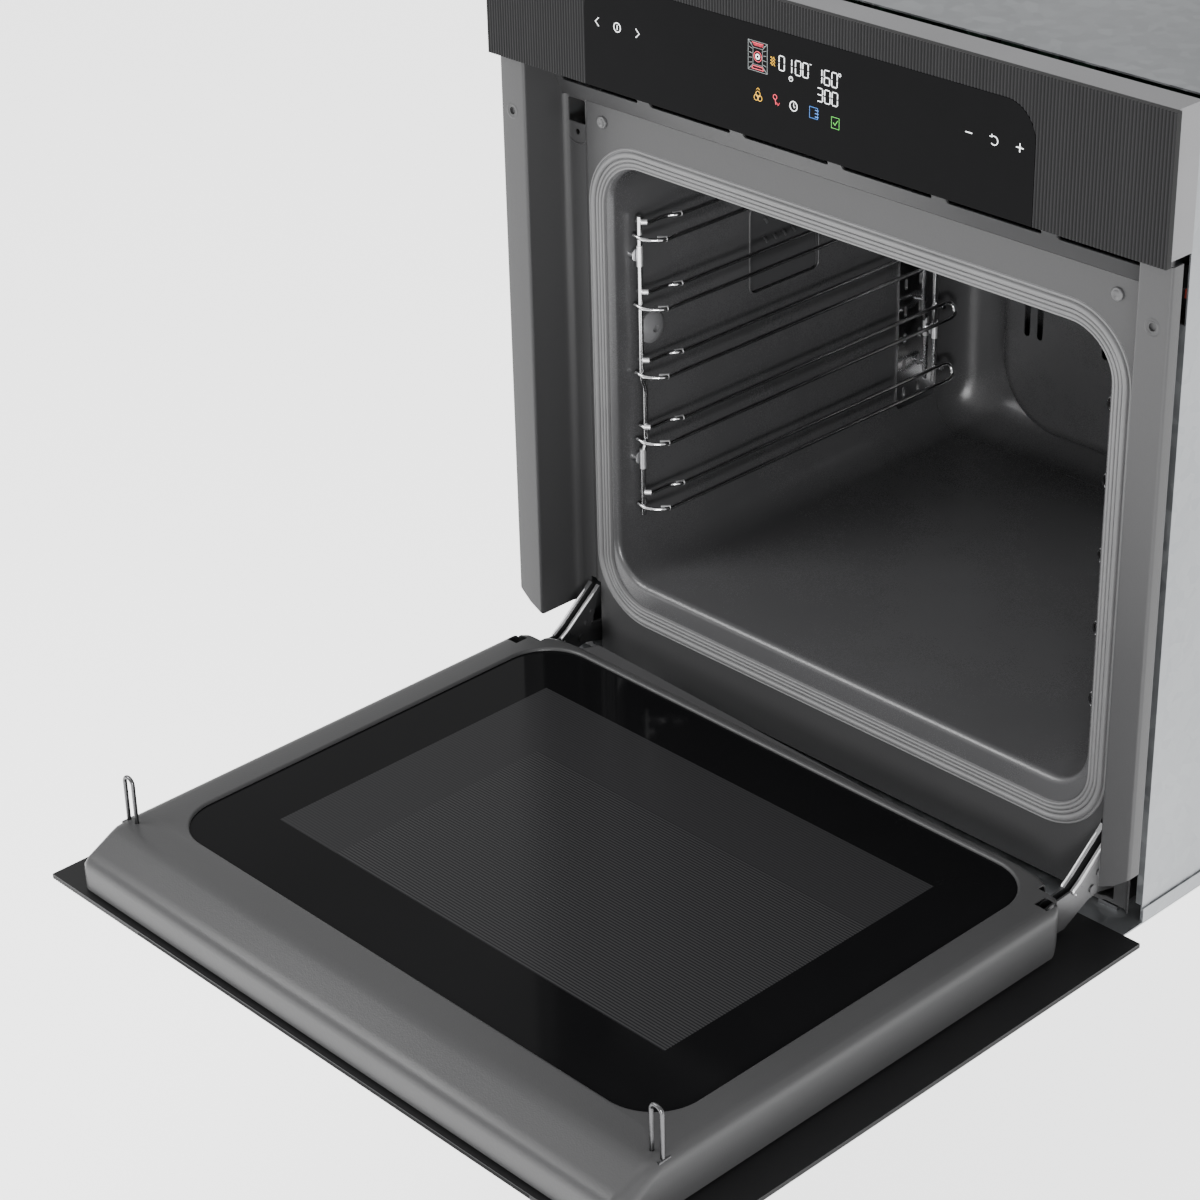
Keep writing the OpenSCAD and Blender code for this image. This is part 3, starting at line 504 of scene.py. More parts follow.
def buildFrame(look):
    section = frameSection(look)
    loops = [[(x, y, z) for x, y in section] for z in (frameLow.z, .2, look["planeTop"], frameHigh.z)]
    piece = thicken(addObject("frame_front", loftMesh("frame_front", loops, closed=False)), look["sheet"])
    low, high = look["planeY"] - 5 * mm, look["planeY"] + 7 * mm
    mouth = ringPoints((-look["mouthHalf"], gasketLow.z + look["mouthInset"]),
                       (look["mouthHalf"], gasketHigh.z - look["mouthInset"]), look["mouthRadius"], 16)
    cutters = [prism("mouth", mouth, low, high)]
    slotX, slotZ = look["slotHalf"]
    pinZ, pinHalf = look["pin"]
    hole = look["screwHole"]
    latch = aroundPoint(look["latchX"], look["latchZ"], slotX, slotZ, 1 * mm, 3)
    pin = aroundPoint(look["latchX"], pinZ, pinHalf, pinHalf, pinHalf - .01 * mm, 5)
    hinge = ringPoints((look["hingeX"] - look["hingeHalf"], look["hingeSlot"][0]),
                       (look["hingeX"] + look["hingeHalf"], look["hingeSlot"][1]), 1 * mm, 3)
    screw = aroundPoint(look["screwX"], look["screwZ"], hole, hole, hole * .99, 6)
    reach = 5 * mm
    for turn in (list, mirrored):
        cutters.append(prism("foot", turn(look["foot"]), frameLow.y - reach, look["footBack"]))
        for outline in (latch, pin, hinge):
            cutters.append(prism("slot", turn(outline), low, high))
        cutters.append(prism("screw", turn(screw), frameLow.y - reach, frameLow.y + reach))
    half, top = look["trimInner"] - .4 * mm, frameHigh.z + reach
    above = [(-half, look["planeTop"]), (half, look["planeTop"]), (half, top), (-half, top)]
    cutters.append(prism("above", above, look["planeY"] - 12 * mm, look["planeY"] + 24 * mm))
    piece = cut(piece, cutters)
    # Dished bosses round the cabinet screws
    bosses = []
    rim = look["bossRadius"]
    for side in (-1, 1):
        profile = [(hole, 1.0 * mm), (hole, -.5 * mm), (hole + 1 * mm, -1.3 * mm), (rim * .62, -1.5 * mm),
                   (rim * .85, -1.0 * mm), (rim, .1 * mm), (rim * .9, .8 * mm)]
        centre = Vector((side * look["screwX"], frameLow.y + look["sheet"], look["screwZ"]))
        bosses.append(turned("boss", profile, centre, (0, 1, 0)))
        # Pressed rim round the latch slot
        reach, foot = look["pocketHalf"], look["pocketLow"]
        x = side * look["latchX"]
        y = look["bandY"] + .1 * mm
        bosses.append(tube("rim", [(x - reach, y, look["planeTop"]), (x - reach, y, foot), (x + reach, y, foot),
                                   (x + reach, y, look["planeTop"])], look["pocketBead"], look["pocketBend"]))
    return join("frame_front", [piece] + bosses)


finishPiece(buildFrame(frontFrame), "grey_enamel", "carcass", ["front_frame"], sharp=50)
print("front frame built")

gasketLook = {"ribs": ((1.2, .8), (5.0, 2.3), (9.0, 1.3), (12.0, 1.3), (14.8, .9)), "outerRadius": .052,
              "steps": 8, "width": 16 * mm, "root": 1.9 * mm, "foot": 2.6 * mm, "swell": 1.15}


def buildGasket(look):
    # Each rib is (distance from the outer edge, radius) in millimetres
    base = gasketLow.y + look["foot"]
    loops = []
    for centre, radius in look["ribs"]:
        for step in range(look["steps"] + 1):
            angle = math.pi * step / look["steps"]
            inset = (centre - radius * math.cos(angle)) * mm
            height = max(.1, radius * math.sin(angle)) * mm * look["swell"]
            loops.append((inset, base - height))
    loops += [(look["width"], base + 1.4 * mm), (look["width"], base + look["root"]), (.2 * mm, base)]
    rings = []
    for inset, y in loops:
        outline = ringPoints((gasketLow.x + inset, gasketLow.z + inset),
                             (gasketHigh.x - inset, gasketHigh.z - inset), look["outerRadius"] - inset, 14)
        rings.append([(x, y, z) for x, z in outline])
    rings.append(rings[0])
    return addObject("gasket_ribbed", loftMesh("gasket_ribbed", rings))


finishPiece(buildGasket(gasketLook), "gasket", "carcass", ["door_gasket"], sharp=70)
print("gasket built")

cavity = {"half": .225, "low": .085, "high": .419, "radius": .027, "mouthRadius": frontFrame["mouthRadius"],
          "mouthY": .0275, "flare": 6 * mm, "backRadius": .034, "wallEnd": .400, "dishEnd": .440,
          "gap": .3 * mm, "sheet": .8 * mm, "lipHalf": .243, "lipLow": .050, "lipHigh": .437,
          "lampMargin": 2 * mm, "lampRadius": 7 * mm}
frameLipY = frontFrame["planeY"] + .0015


def cavityLoop(look, inset, y, radius):
    outline = ringPoints((-look["half"] + inset, look["low"] + inset),
                         (look["half"] - inset, look["high"] - inset), radius, 10)
    return [(x, y, z) for x, z in outline]


def buildCavity(look):
    lip = ringPoints((-look["lipHalf"], look["lipLow"]), (look["lipHalf"], look["lipHigh"]), look["radius"], 10)
    loops = [[(x, frameLipY, z) for x, z in lip]]
    for step in range(7):
        angle = math.pi / 2 * step / 6
        inset = -look["flare"] * (1 - math.sin(angle))
        loops.append(cavityLoop(look, inset, look["mouthY"] + look["flare"] * (1 - math.cos(angle)),
                                look["mouthRadius"] + (look["radius"] - look["mouthRadius"]) * step / 6))
    loops.append(cavityLoop(look, 0, look["wallEnd"] - .5 * mm, look["radius"]))
    walls = thicken(addObject("cavity_walls", loftMesh("cavity_walls", loops)), -look["sheet"])
    lampLow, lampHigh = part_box("lamp_lens")
    margin = look["lampMargin"]
    window = ringPoints((lampLow.y - margin, lampLow.z - margin), (lampHigh.y + margin, lampHigh.z + margin),
                        look["lampRadius"], 5)
    walls = cut(walls, [prism("opening", window, -look["half"] - 10 * mm, -look["half"] + 10 * mm, "x")])
    loops = [cavityLoop(look, 0, look["wallEnd"] + look["gap"], look["radius"])]
    for step in range(9):
        angle = math.pi / 2 * step / 8
        depth = look["backRadius"] * math.sin(angle)
        loops.append(cavityLoop(look, look["backRadius"] * (1 - math.cos(angle)),
                                look["dishEnd"] - look["backRadius"] + depth - look["gap"], look["radius"]))
    middle = (look["low"] + look["high"]) / 2
    for share in (.3, .6):
        loops.append([(x * (1 - share), look["dishEnd"] - look["gap"], middle + (z - middle) * (1 - share))
                      for x, y, z in loops[9]])
    back = thicken(addObject("cavity_back", loftMesh("cavity_back", loops, capEnd=True)), -look["sheet"])
    return walls, back


walls, back = buildCavity(cavity)
finishPiece(walls, "cavity_enamel", "carcass", ["cavity_liner"])
finishPiece(back, "cavity_enamel", "carcass", ["back_wall"])
print("cavity built")

baffleLook = {"radius": .060, "edge": .014, "sheet": .9 * mm, "gap": .2 * mm, "slots": (-.135, -.122, .122, .135),
              "slot": (.003, .060), "grilleHalf": .080, "grillePitch": .014, "grilleWidth": .0035,
              "columns": 5, "upperX": .110, "upperRise": .118, "upper": (.025, .003)}


def buildBaffle(look):
    low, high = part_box("fan_baffle")
    fanLow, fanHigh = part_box("convection_fan")
    fanZ = (fanLow.z + fanHigh.z) / 2
    gap = look["gap"]
    skirt = ringPoints((low.x + gap, low.z + gap), (high.x - gap, high.z - gap), look["radius"], 12)
    loops = [[(x, high.y - gap, z) for x, z in skirt]]
    for step in range(9):
        angle = math.pi / 2 * step / 8
        inset = look["edge"] * (1 - math.cos(angle)) + gap
        y = low.y + look["edge"] * (1 - math.sin(angle)) + gap / 2
        outline = ringPoints((low.x + inset, low.z + inset), (high.x - inset, high.z - inset),
                             look["radius"] - inset, 12)
        loops.append([(x, y, z) for x, z in outline])
    piece = thicken(addObject("baffle_pressed", loftMesh("baffle_pressed", loops, capEnd=True)), -look["sheet"])

    def slot(x, z, halfX, halfZ):
        outline = aroundPoint(x, z, halfX, halfZ, min(halfX, halfZ) * .98, 5)
        return prism("slot", outline, low.y - 6 * mm, low.y + 8 * mm)

    cutters = [slot(x, fanZ, *look["slot"]) for x in look["slots"]]
    for step in range(-look["columns"], look["columns"] + 1):
        x = step * look["grillePitch"]
        cutters.append(slot(x, fanZ, look["grilleWidth"], math.sqrt(look["grilleHalf"] ** 2 - x * x)))
    for x in (-look["upperX"], look["upperX"]):
        cutters.append(slot(x, fanZ + look["upperRise"], *look["upper"]))
    return cut(piece, cutters)


finishPiece(buildBaffle(baffleLook), "cavity_enamel", "carcass", ["fan_baffle"], sharp=50)
print("fan cover built")

# In millimetres, except the wires' radii
rackLook = {"upright": 219.0, "frontY": 50.0, "backY": 388.0, "first": 150.0, "pitch": 55.0, "levels": 5,
            "shelfX": 208.0, "stubX": 214.0, "lowerX": 203.0, "drop": 13.0, "wire": 1.7 * mm, "post": 2.1 * mm,
            "flat": 2.5 * mm, "clampZ": (178, 343)}


def buildRack(side, look):
    wires, highlightedFlats = [], []
    out, front, rear = look["upright"], look["frontY"], look["backY"]
    x, inner, drop = look["shelfX"], look["lowerX"], look["drop"]

    def wire(points, radius, bend, group=wires):
        path = [(side * px * mm, py * mm, pz * mm) for px, py, pz in points]
        group.append(tube("wire", path, radius, bend))

    low = look["first"] - drop - 6
    high = look["first"] + (look["levels"] - 1) * look["pitch"] + 4
    for y in (front, rear):
        step = 2.5 if y == front else -2.5
        wire([(out, y, low), (out, y, low + 52), (out - 1, y + step, low + 60), (out - 1, y + step, low + 106),
              (out, y, low + 114), (out, y, high)], look["post"], .006)
        # Flat clamps on the posts, in the bright finish that paints their highlight
        for z in look["clampZ"]:
            wire([(out, y, z - 8), (out, y, z - 6), (out, y, z + 6), (out, y, z + 8)], look["flat"], .001, highlightedFlats)
    for level in range(look["levels"]):
        z = look["first"] + level * look["pitch"]
        # The upper wire steps in twice, at its stub and behind it
        wire([(out + 2.5, front, z), (look["stubX"], front + 1, z - .5), (look["stubX"], front + 23, z - .5),
              (x, front + 29, z), (x, front + 42, z), (x, rear + 2, z), (x - 1, rear + 7, z - 3),
              (inner, rear + 7, z - drop + 3), (inner, rear + 1, z - drop), (inner, front + 34, z - drop),
              (inner, front + 9, z - drop), (out - 6, front - 1, z - drop), (out + 4, front - 2, z - drop + 2)],
             look["wire"], .005)
        # Pressed flats on the bends, in a bright finish that paints their highlight
        for ends in (((look["stubX"] + 3, front, z), (look["stubX"] - .5, front + 3, z)),
                     ((x + 3, front + 27, z - .2), (x, front + 33, z)),
                     ((inner + 5, front + 7.5, z - drop), (inner, front + 13, z - drop))):
            wire(list(ends), look["flat"] * .85, 0, highlightedFlats)
        wire([(x, rear - 2, z - 4), (out, rear, z - 4)], look["wire"], 0)
    name = "left" if side < 0 else "right"
    finishPiece(join("runners_" + name, wires), "chrome_wire", "carcass", ["rack_" + name], sharp=60)
    finishPiece(join("runner_bends_" + name, highlightedFlats), "chrome_wire", "carcass", material=paintedHighlight, sharp=60)


buildRack(-1, rackLook)
buildRack(1, rackLook)
print("shelf runners built")

panelLow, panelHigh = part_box("fascia_panel")
touchLow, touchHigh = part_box("touch_glass")
doorPanelLow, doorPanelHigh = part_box("door_panel")
fluteLook = {"pitch": flutePitch, "depth": .6 * mm, "corner": .024, "gap": .25 * mm, "glassHeight": .360,
             "backing": .7 * mm, "seam": .02 * mm}


def flutedSheet(name, sides, glass, run, out, lift, look):
    # Flutes along one direction, round a glass that starts at its low end and has two rounded corners
    glassHalf, glassEnd = glass[0] + look["gap"], glass[1] + look["gap"]
    face, back = out
    pieces = []

    def edge(x):
        inside = max(0.0, abs(x) - (glassHalf - look["corner"]))
        return glassEnd - look["corner"] + math.sqrt(max(0.0, look["corner"] ** 2 - inside * inside))

    seam = glassHalf + look["seam"]  # The side strips stop a hair short of the middle one
    strips = ((sides[0], -seam, None), (seam, sides[1], None), (-glassHalf, glassHalf, edge))
    for low, high, start in strips:
        count = max(2, round((high - low) / look["pitch"] * 4))
        across = [low + (high - low) * step / count for step in range(count + 1)]
        crest = [face + look["depth"] * (.5 - .5 * math.cos(2 * math.pi * x / look["pitch"])) for x in across]
        starts = [start(x) if start else run[0] for x in across]
        loops = [[lift(x, back, first) for x, first in zip(across, starts)],
                 [lift(x, top, first) for x, top, first in zip(across, crest, starts)],
                 [lift(x, top, run[1]) for x, top in zip(across, crest)],
                 [lift(x, back, run[1]) for x in across]]
        loops.append(loops[0])
        pieces.append(addObject(name, loftMesh(name, loops, closed=False)))
    piece = join(name, pieces)
    shape = bmesh.new()
    shape.from_mesh(piece.data)
    bmesh.ops.holes_fill(shape, edges=shape.edges, sides=0)
    shape.to_mesh(piece.data)
    shape.free()
    return piece


def upright(x, out, run):
    return (x, out, run)


def lying(x, out, run):
    return (x, run, out)


finishPiece(flutedSheet("fascia_fluted", (panelLow.x, panelHigh.x), (touchHigh.x, touchHigh.z),
                        (panelLow.z, panelHigh.z), (panelLow.y, panelHigh.y), upright, fluteLook),
            "ribbed_panel", "carcass", ["fascia_panel"], sharp=55)
print("control panel built")


def buildDoorFace(look):
    low, high = doorPanelLow, doorPanelHigh
    glassEnd = low.y + look["glassHeight"]
    inner = high.z - look["backing"]
    finishPiece(flutedSheet("door_fluted", (low.x, high.x), (touchHigh.x, glassEnd), (low.y, high.y),
                            (low.z, inner), lying, look), "ribbed_panel", "door", ["door_panel"], sharp=55)
    half = touchHigh.x
    outline = softPath([(-half, low.y, 0), (half, low.y, 0), (half, glassEnd, look["corner"]),
                        (-half, glassEnd, look["corner"])], 10, closed=True)
    middle = (low.y + glassEnd) / 2
    loops = []
    for inset, z in ((.0009, 0), (.0003, .1 * mm), (0, .4 * mm), (0, inner - low.z)):
        loops.append([(x * (1 - inset / half), middle + (y - middle) * (1 - 2 * inset / look["glassHeight"]),
                       low.z + z) for x, y in outline])
    window = addObject("door_window", loftMesh("door_window", loops, capStart=True, capEnd=True))
    finishPiece(window, "touch_glass", "door", sharp=30)
    backing = prism("door_backing", ringPoints((low.x, low.y), (high.x, high.y), .3 * mm, 2), inner, high.z, "z")
    finishPiece(backing, "ribbed_panel", "door", material=panelInside, sharp=30)


buildDoorFace(fluteLook)
print("door face built")

handleLook = {"end": 3 * mm, "postInset": .030, "post": 5 * mm, "foot": 6 * mm, "flare": 5 * mm}


def buildHandle(look):
    low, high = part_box("door_handle")
    centre = (low + high) / 2
    radius = (high.y - low.y) / 2
    z = low.z + radius
    half = high.x
    end = look["end"]
    cap = [(radius - end + end * math.sin(math.radians(turn)), half - end + end * math.cos(math.radians(turn)))
           for turn in range(0, 91, 15)]
    profile = [(radius, -place) for radius, place in cap] + [(radius, place) for radius, place in reversed(cap)]
    pieces = [turned("bar", profile, Vector((0, centre.y, z)), (1, 0, 0), 40)]
    reach = doorPanelLow.z - z
    post = [(look["post"], 0), (look["post"], reach - look["flare"])]
    for turn in range(15, 91, 15):
        angle = math.radians(turn)
        post.append((look["foot"] - (look["foot"] - look["post"]) * math.cos(angle),
                     reach - look["flare"] + look["flare"] * math.sin(angle)))
    post.append((look["foot"], reach + .6 * mm))
    for x in (look["postInset"] - half, half - look["postInset"]):
        pieces.append(turned("post", post, Vector((x, centre.y, z)), (0, 0, 1), 28))
    return join("handle_bar", pieces)


finishPiece(buildHandle(handleLook), "handle", "door", ["door_handle"], sharp=50)
print("handle built")

# Signs are drawn in millimetres, as X and Z
signLook = {"line": .27 * mm, "proud": .05 * mm, "digitWidth": 4.6, "digitHeight": 9.6, "digitGap": .45}
signY = touchLow.y - signLook["proud"]
segments = {"0": "abcdef", "1": "bc", "3": "abgcd", "6": "acdefg"}


def stroke(points, weight=1.0, closed=False):
    path = [(x * mm, signY, z * mm) for x, z in points]
    return tube("stroke", path, signLook["line"] * weight, 0, closed, sides=1)


def circlePoints(x, z, radius, turn=360, start=0, steps=20):
    return [(x + radius * math.cos(math.radians(start + turn * step / steps)),
             z + radius * math.sin(math.radians(start + turn * step / steps))) for step in range(steps)]


def digit(value, x, z, height):
    width, gap = signLook["digitWidth"], signLook["digitGap"]
    half = height / 2
    ends = {"a": ((gap, height), (width - gap, height)), "b": ((width, half + gap), (width, height - gap)),
            "c": ((width, gap), (width, half - gap)), "d": ((gap, 0), (width - gap, 0)),
            "e": ((0, gap), (0, half - gap)), "f": ((0, half + gap), (0, height - gap)),
            "g": ((gap, half), (width - gap, half))}
    return [stroke([(x + px, z + pz) for px, pz in ends[key]], 1.25) for key in segments[value]]


def number(text, x, z, pitch=6.4, height=signLook["digitHeight"]):
    return [part for index, value in enumerate(text) for part in digit(value, x + index * pitch, z, height)]


def strokes(*lines):
    # Each line is its points, its weight and, where it is closed, True
    return [stroke(*line) for line in lines]


def sign(name, colour, parts):
    finishPiece(join(name, parts), "touch_glass", "carcass", material=lights[colour])


sign("sign_keys", "white", strokes(
    ([(-182, 548), (-185.4, 545), (-182, 542)], 1.3), ([(-146, 548), (-142.6, 545), (-146, 542)], 1.3),
    (circlePoints(-164, 545, 3.2), 1.3, True), ([(-164, 543.4), (-164, 546.6)], 1.2),
    ([(142.4, 546), (147.6, 546)], 1.3), ([(182.2, 546), (187.8, 546)], 1.3), ([(185, 543.2), (185, 548.8)], 1.3),
    (circlePoints(165, 545.6, 2.8, 270, -135), 1.2), ([(161.4, 547.9), (163.3, 547.6), (163.0, 549.4)], 1.1)))
sign("sign_readout", "white", number("0", -14, 549.5) + number("1", -7.5, 549.5) + number("00", .4, 549.5)
     + number("1", 18.6, 548.8) + number("60", 25.4, 548.8) + number("300", 19.5, 536.6, height=8.8) + strokes(
         (circlePoints(38.4, 557.8, 1.0), .8, True), ([(12.8, 559.2), (14.2, 559.2)], .9),
         (circlePoints(-3.6, 545.8, 1.6), .8, True), ([(-3.6, 545.8), (-3.6, 547)], .7)))
sign("sign_clock", "white", strokes((circlePoints(-1, 528, 3.2), 1.2, True),
                                    ([(-1, 530), (-1, 528), (.2, 527.2)], .9)))
modeX, modeZ = -33.0, 554.0
rays = []
for side in (-1, 1):
    for step in range(6):
        rise = step * 3 - 7.5
        rays.append(([(modeX + side * 7.6, modeZ + rise * 1.18), (modeX + side * 4.9, modeZ + rise)], .6))
boxOutline = [(-41.5, 544), (-24.5, 544), (-24.5, 564), (-41.5, 564)]
innerOutline = [(-37.2, 548.4), (-28.8, 548.4), (-28.8, 559.6), (-37.2, 559.6)]
corners = [([outer, inner], .6) for outer, inner in zip(boxOutline, innerOutline)]
sign("sign_mode_box", "grey", strokes((boxOutline, .8, True), (innerOutline, .7, True), *rays, *corners))
heatRows = [([(-36.6 + step * 1.2, 562.6), (-36.0 + step * 1.2, 561.0)], .8) for step in range(7)]
sign("sign_heat", "red", strokes(
    *heatRows, ([(-38.0, 562.9), (-28.0, 562.9)], .9), ([(-37.2, 547.4), (-28.8, 547.4)], .9),
    ([(-38.2, 545.4), (-27.8, 545.4)], .9), ([(-38.2, 545.4), (-37.2, 547.4)], .8),
    ([(-27.8, 545.4), (-28.8, 547.4)], .8), (circlePoints(modeX, modeZ, 3.4), .8, True),
    (circlePoints(-17.4, 530.4, 1.6), .9, True), ([(-17.2, 528.6), (-16.6, 525.4)], 1.0),
    ([(-16.2, 527.0), (-14.6, 525.2), (-13.4, 527.2)], .9)))
sign("sign_fan", "white", strokes((circlePoints(modeX, modeZ, 1.5), 1.9, True)))
waves = [([(-21.6 + .45 * step, modeZ + rise + .9 * math.sin(step * 1.3)) for step in range(10)], .7)
         for rise in (-2.0, 0.0, 2.0)]
petals = [(circlePoints(x, z, 1.9), .8, True) for x, z in ((-34.2, 526.2), (-31.0, 526.2), (-32.6, 528.8))]
sign("sign_waves", "yellow", strokes(*waves, *petals, ([(-34.0, 531.8), (-32.6, 533), (-31.2, 531.8)], .8)))
bars = [([(17.8, 525.4 + step * 2.2), (20.8, 525.4 + step * 2.2)], 1.1) for step in range(3)]
sign("sign_book", "blue", strokes(([(13, 524), (20, 524), (20, 531.4), (13, 531.4)], .9, True), *bars))
sign("sign_done", "green", strokes(([(32, 521.6), (38.6, 521.6), (38.6, 529), (32, 529)], .8, True),
                                   ([(33.6, 525.4), (35.0, 523.8), (37.4, 527.2)], 1.1)))
print("signs built")

doorLow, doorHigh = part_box("door_frame")
glassLow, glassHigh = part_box("inner_glass")
doorLook = {"crease": .0240, "slope": .030, "creaseFold": .008, "topFold": .012, "sideFold": .008,
            "glassHalf": .243, "glassCorner": .040, "rim": 2.2 * mm, "sheet": 1.2 * mm, "rows": 14,
            "cornerSteps": 8, "bead": 1.9 * mm, "beadHalf": .195, "beadFade": .010, "beadInset": .0205,
            # The hinge end: half widths, and how far each corner lies from the end
            "shoulder": ((doorHigh.x, .038), (.258, .028), (.236, .017), (.216, .014)),
            "radii": (.010, .010, .012, .015, .02, .015, .015, .02, .015, .012),
            "tipLip": .016, "sideLip": 8.5 * mm, "endRise": .012, "endFold": 5 * mm, "endLip": 7 * mm,
            "glassInset": 6 * mm, "latchSlot": (.040, 5.5 * mm, 6 * mm), "legApart": 4.6 * mm,
            "legHole": 1.7 * mm, "notch": (.030, 7 * mm)}


def doorOutline(insets):
    # The outline's edges, each moved inwards by its own inset, meet in new corners
    tip, end, half = doorLow.y, doorHigh.y, doorHigh.x
    shoulder = [(x, end - drop) for x, drop in doorLook["shoulder"]]
    corners = [(-half, tip), (half, tip)] + shoulder + mirrored(reversed(shoulder))
    lines = []
    for index, corner in enumerate(corners):
        here = Vector(corner)
        along = (Vector(corners[(index + 1) % len(corners)]) - here).normalized()
        inward = Vector((-along.y, along.x))
        lines.append((here + inward * insets[index], along))
    moved = []
    for index in range(len(lines)):
        start, along = lines[index - 1]
        other, across = lines[index]
        cross = along.x * across.y - along.y * across.x
        gap = other - start
        reach = (gap.x * across.y - gap.y * across.x) / cross
        moved.append(start + along * reach)
    return moved


def doorRow(insets, heights, radii, steps):
    corners = doorOutline(insets)
    row = []
    count = len(corners)
    for index in range(count):
        here = corners[index]
        before = (corners[index - 1] - here).normalized()
        after = (corners[(index + 1) % count] - here).normalized()
        reach = radii[index] / math.tan(before.angle(after) / 2)
        start, end = here + before * reach, here + after * reach
        for step in range(steps + 1):
            t = step / steps
            point = start * (1 - t) ** 2 + here * 2 * t * (1 - t) + end * t * t
            ease = t * t * (3 - 2 * t)
            height = heights[index - 1] * (1 - ease) + heights[index] * ease
            row.append((point.x, point.y, height))
    return row


def evenly(path, count):
    # The same path with evenly spread points
    lengths = [0.0]
    for start, end in zip(path, path[1:]):
        lengths.append(lengths[-1] + math.dist(start, end))
    points = []
    for index in range(count):
        target = lengths[-1] * index / (count - 1)
        spot = max(place for place in range(len(path) - 1) if lengths[place] <= target + 1e-12)
        share = (target - lengths[spot]) / max(lengths[spot + 1] - lengths[spot], 1e-9)
        points.append(tuple(a + (b - a) * min(share, 1) for a, b in zip(path[spot], path[spot + 1])))
    return points


def buildDoorFrame(look):
    low, top = doorLow.z, doorHigh.z
    rows = look["rows"]
    tipPath = evenly(softPath([(0, low, 0), (0, low + look["crease"], look["creaseFold"]),
                               (look["slope"], top, look["topFold"]),
                               (look["slope"] + look["tipLip"], top, 0)], 8), rows)
    sidePath = evenly(softPath([(0, low, 0), (0, top, look["sideFold"]), (look["sideLip"], top, 0)], 8), rows)
    endPath = evenly(softPath([(0, low + look["endRise"], 0), (0, top, look["endFold"]),
                               (look["endLip"], top, 0)], 8), rows)
    slants = [tipPath, sidePath] + [endPath] * 7 + [sidePath]
    loops = []
    for step in range(rows):
        insets = [path[step][0] for path in slants]
        heights = [path[step][1] for path in slants]
        loops.append(doorRow(insets, heights, look["radii"], look["cornerSteps"]))
    skin = addObject("skin", loftMesh("skin", loops))
    mouthLow, mouthHigh = glassLow.y + look["glassInset"], glassHigh.y - look["glassInset"]
    opening = ringPoints((-look["glassHalf"], mouthLow), (look["glassHalf"], mouthHigh), look["glassCorner"], 14)
    flat = flatSheet("flat", [(x, y) for x, y, z in loops[-1]], [opening], top)
    rim = []
    for step in range(6):
        angle = math.pi / 2 * step / 5
        grow = look["rim"] * (1 - math.sin(angle)) - look["rim"]
        drop = look["rim"] * (1 - math.cos(angle))
        outline = ringPoints((-look["glassHalf"] - grow, mouthLow - grow),
                             (look["glassHalf"] + grow, mouthHigh + grow), look["glassCorner"] + grow, 14)
        rim.append([(x, y, top - drop) for x, y in outline])
    edge = addObject("rim", loftMesh("rim", rim))
    piece = join("door_frame_pressed", [skin, flat, edge])
    piece = thicken(piece, look["sheet"])
    cutters = []
    loopLow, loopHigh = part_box("latch_loops")
    loopY = (loopLow.y + loopHigh.y) / 2
    slotBack, slotX, slotY = look["latchSlot"]
    holeHalf, reach, past = look["legHole"], 6 * mm, 10 * mm
    notchBack, notchHalf = look["notch"]
    for side in (-1, 1):
        slot = aroundPoint(side * frontFrame["latchX"], doorHigh.y - slotBack, slotX, slotY, .8 * mm, 3)
        cutters.append(prism("slot", slot, top - reach, top + reach, "z"))
        for leg in (-look["legApart"], look["legApart"]):
            centre = side * (frontFrame["latchX"] + 1 * mm) + leg
            hole = aroundPoint(centre, loopY, holeHalf, holeHalf, holeHalf - .01 * mm, 4)
            cutters.append(prism("hole", hole, top - reach, top + reach, "z"))
        low, high = side * frontFrame["hingeX"] - notchHalf, side * frontFrame["hingeX"] + notchHalf
        start, end = doorHigh.y - notchBack, doorHigh.y + past
        notch = [(low, start), (high, start), (high, end), (low, end)]
        cutters.append(prism("notch", notch, doorLow.z - past, top + past, "z"))
    piece = cut(piece, cutters)
    # Bead along the hinge side
    half, fade = look["beadHalf"], look["beadFade"]
    y, z = doorHigh.y - look["beadInset"], top - look["bead"] + .2 * mm
    bead = tube("bead", [(-half - fade, y, z - 1 * mm), (-half, y, z), (half, y, z), (half + fade, y, z - 1 * mm)],
                look["bead"], fade)
    return join("door_frame_pressed", [piece, bead])


finishPiece(buildDoorFrame(doorLook), "grey_enamel", "door", ["door_frame"], sharp=50)
print("door frame built")

# Radii of the dished face from its middle outwards, and how deep each lies
bufferLook = {"dish": (.0018, .0024, .0032, .0040, .0045, .0046), "depth": (.0009, .0006, .0001, 0, .0005, .0016)}


def buildBuffers(look):
    # Soft buttons with a dished face, on both sides of the top of the mouth
    low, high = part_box("door_buffers")
    middle = (low.z + high.z) / 2
    pieces = []
    for x in (low.x + look["dish"][-1], high.x - look["dish"][-1]):
        profile = list(zip(look["dish"], look["depth"])) + [(look["dish"][-1], frontFrame["planeY"] - low.y)]
        pieces.append(turned("buffer", profile, Vector((x, low.y, middle)), (0, 1, 0), 28))
    return join("buffer_buttons", pieces)


finishPiece(buildBuffers(bufferLook), "black_rubber", "carcass", ["door_buffers"], sharp=70)
print("buffers built")

springLook = {"wire": 1.1 * mm, "pitch": 3.3 * mm, "steps": 14}


def buildSpring(node, name, body, look):
    low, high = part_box(node)
    centre = (low + high) / 2
    radius = (high.x - low.x) / 2 - look["wire"]
    turns = (high.y - low.y - 2 * look["wire"]) / look["pitch"]
    path = []
    for step in range(int(turns * look["steps"]) + 1):
        angle = 2 * math.pi * step / look["steps"]
        path.append((centre.x + radius * math.cos(angle), low.y + look["wire"] + look["pitch"] * step / look["steps"],
                     centre.z + radius * math.sin(angle)))
    finishPiece(tube(name, path, look["wire"], sides=2), "spring_steel", body, [node], sharp=60)


buildSpring("hinge_spring_left", "coil_left", "spring_rod_l", springLook)
buildSpring("hinge_spring_right", "coil_right", "spring_rod_r", springLook)
print("springs built")

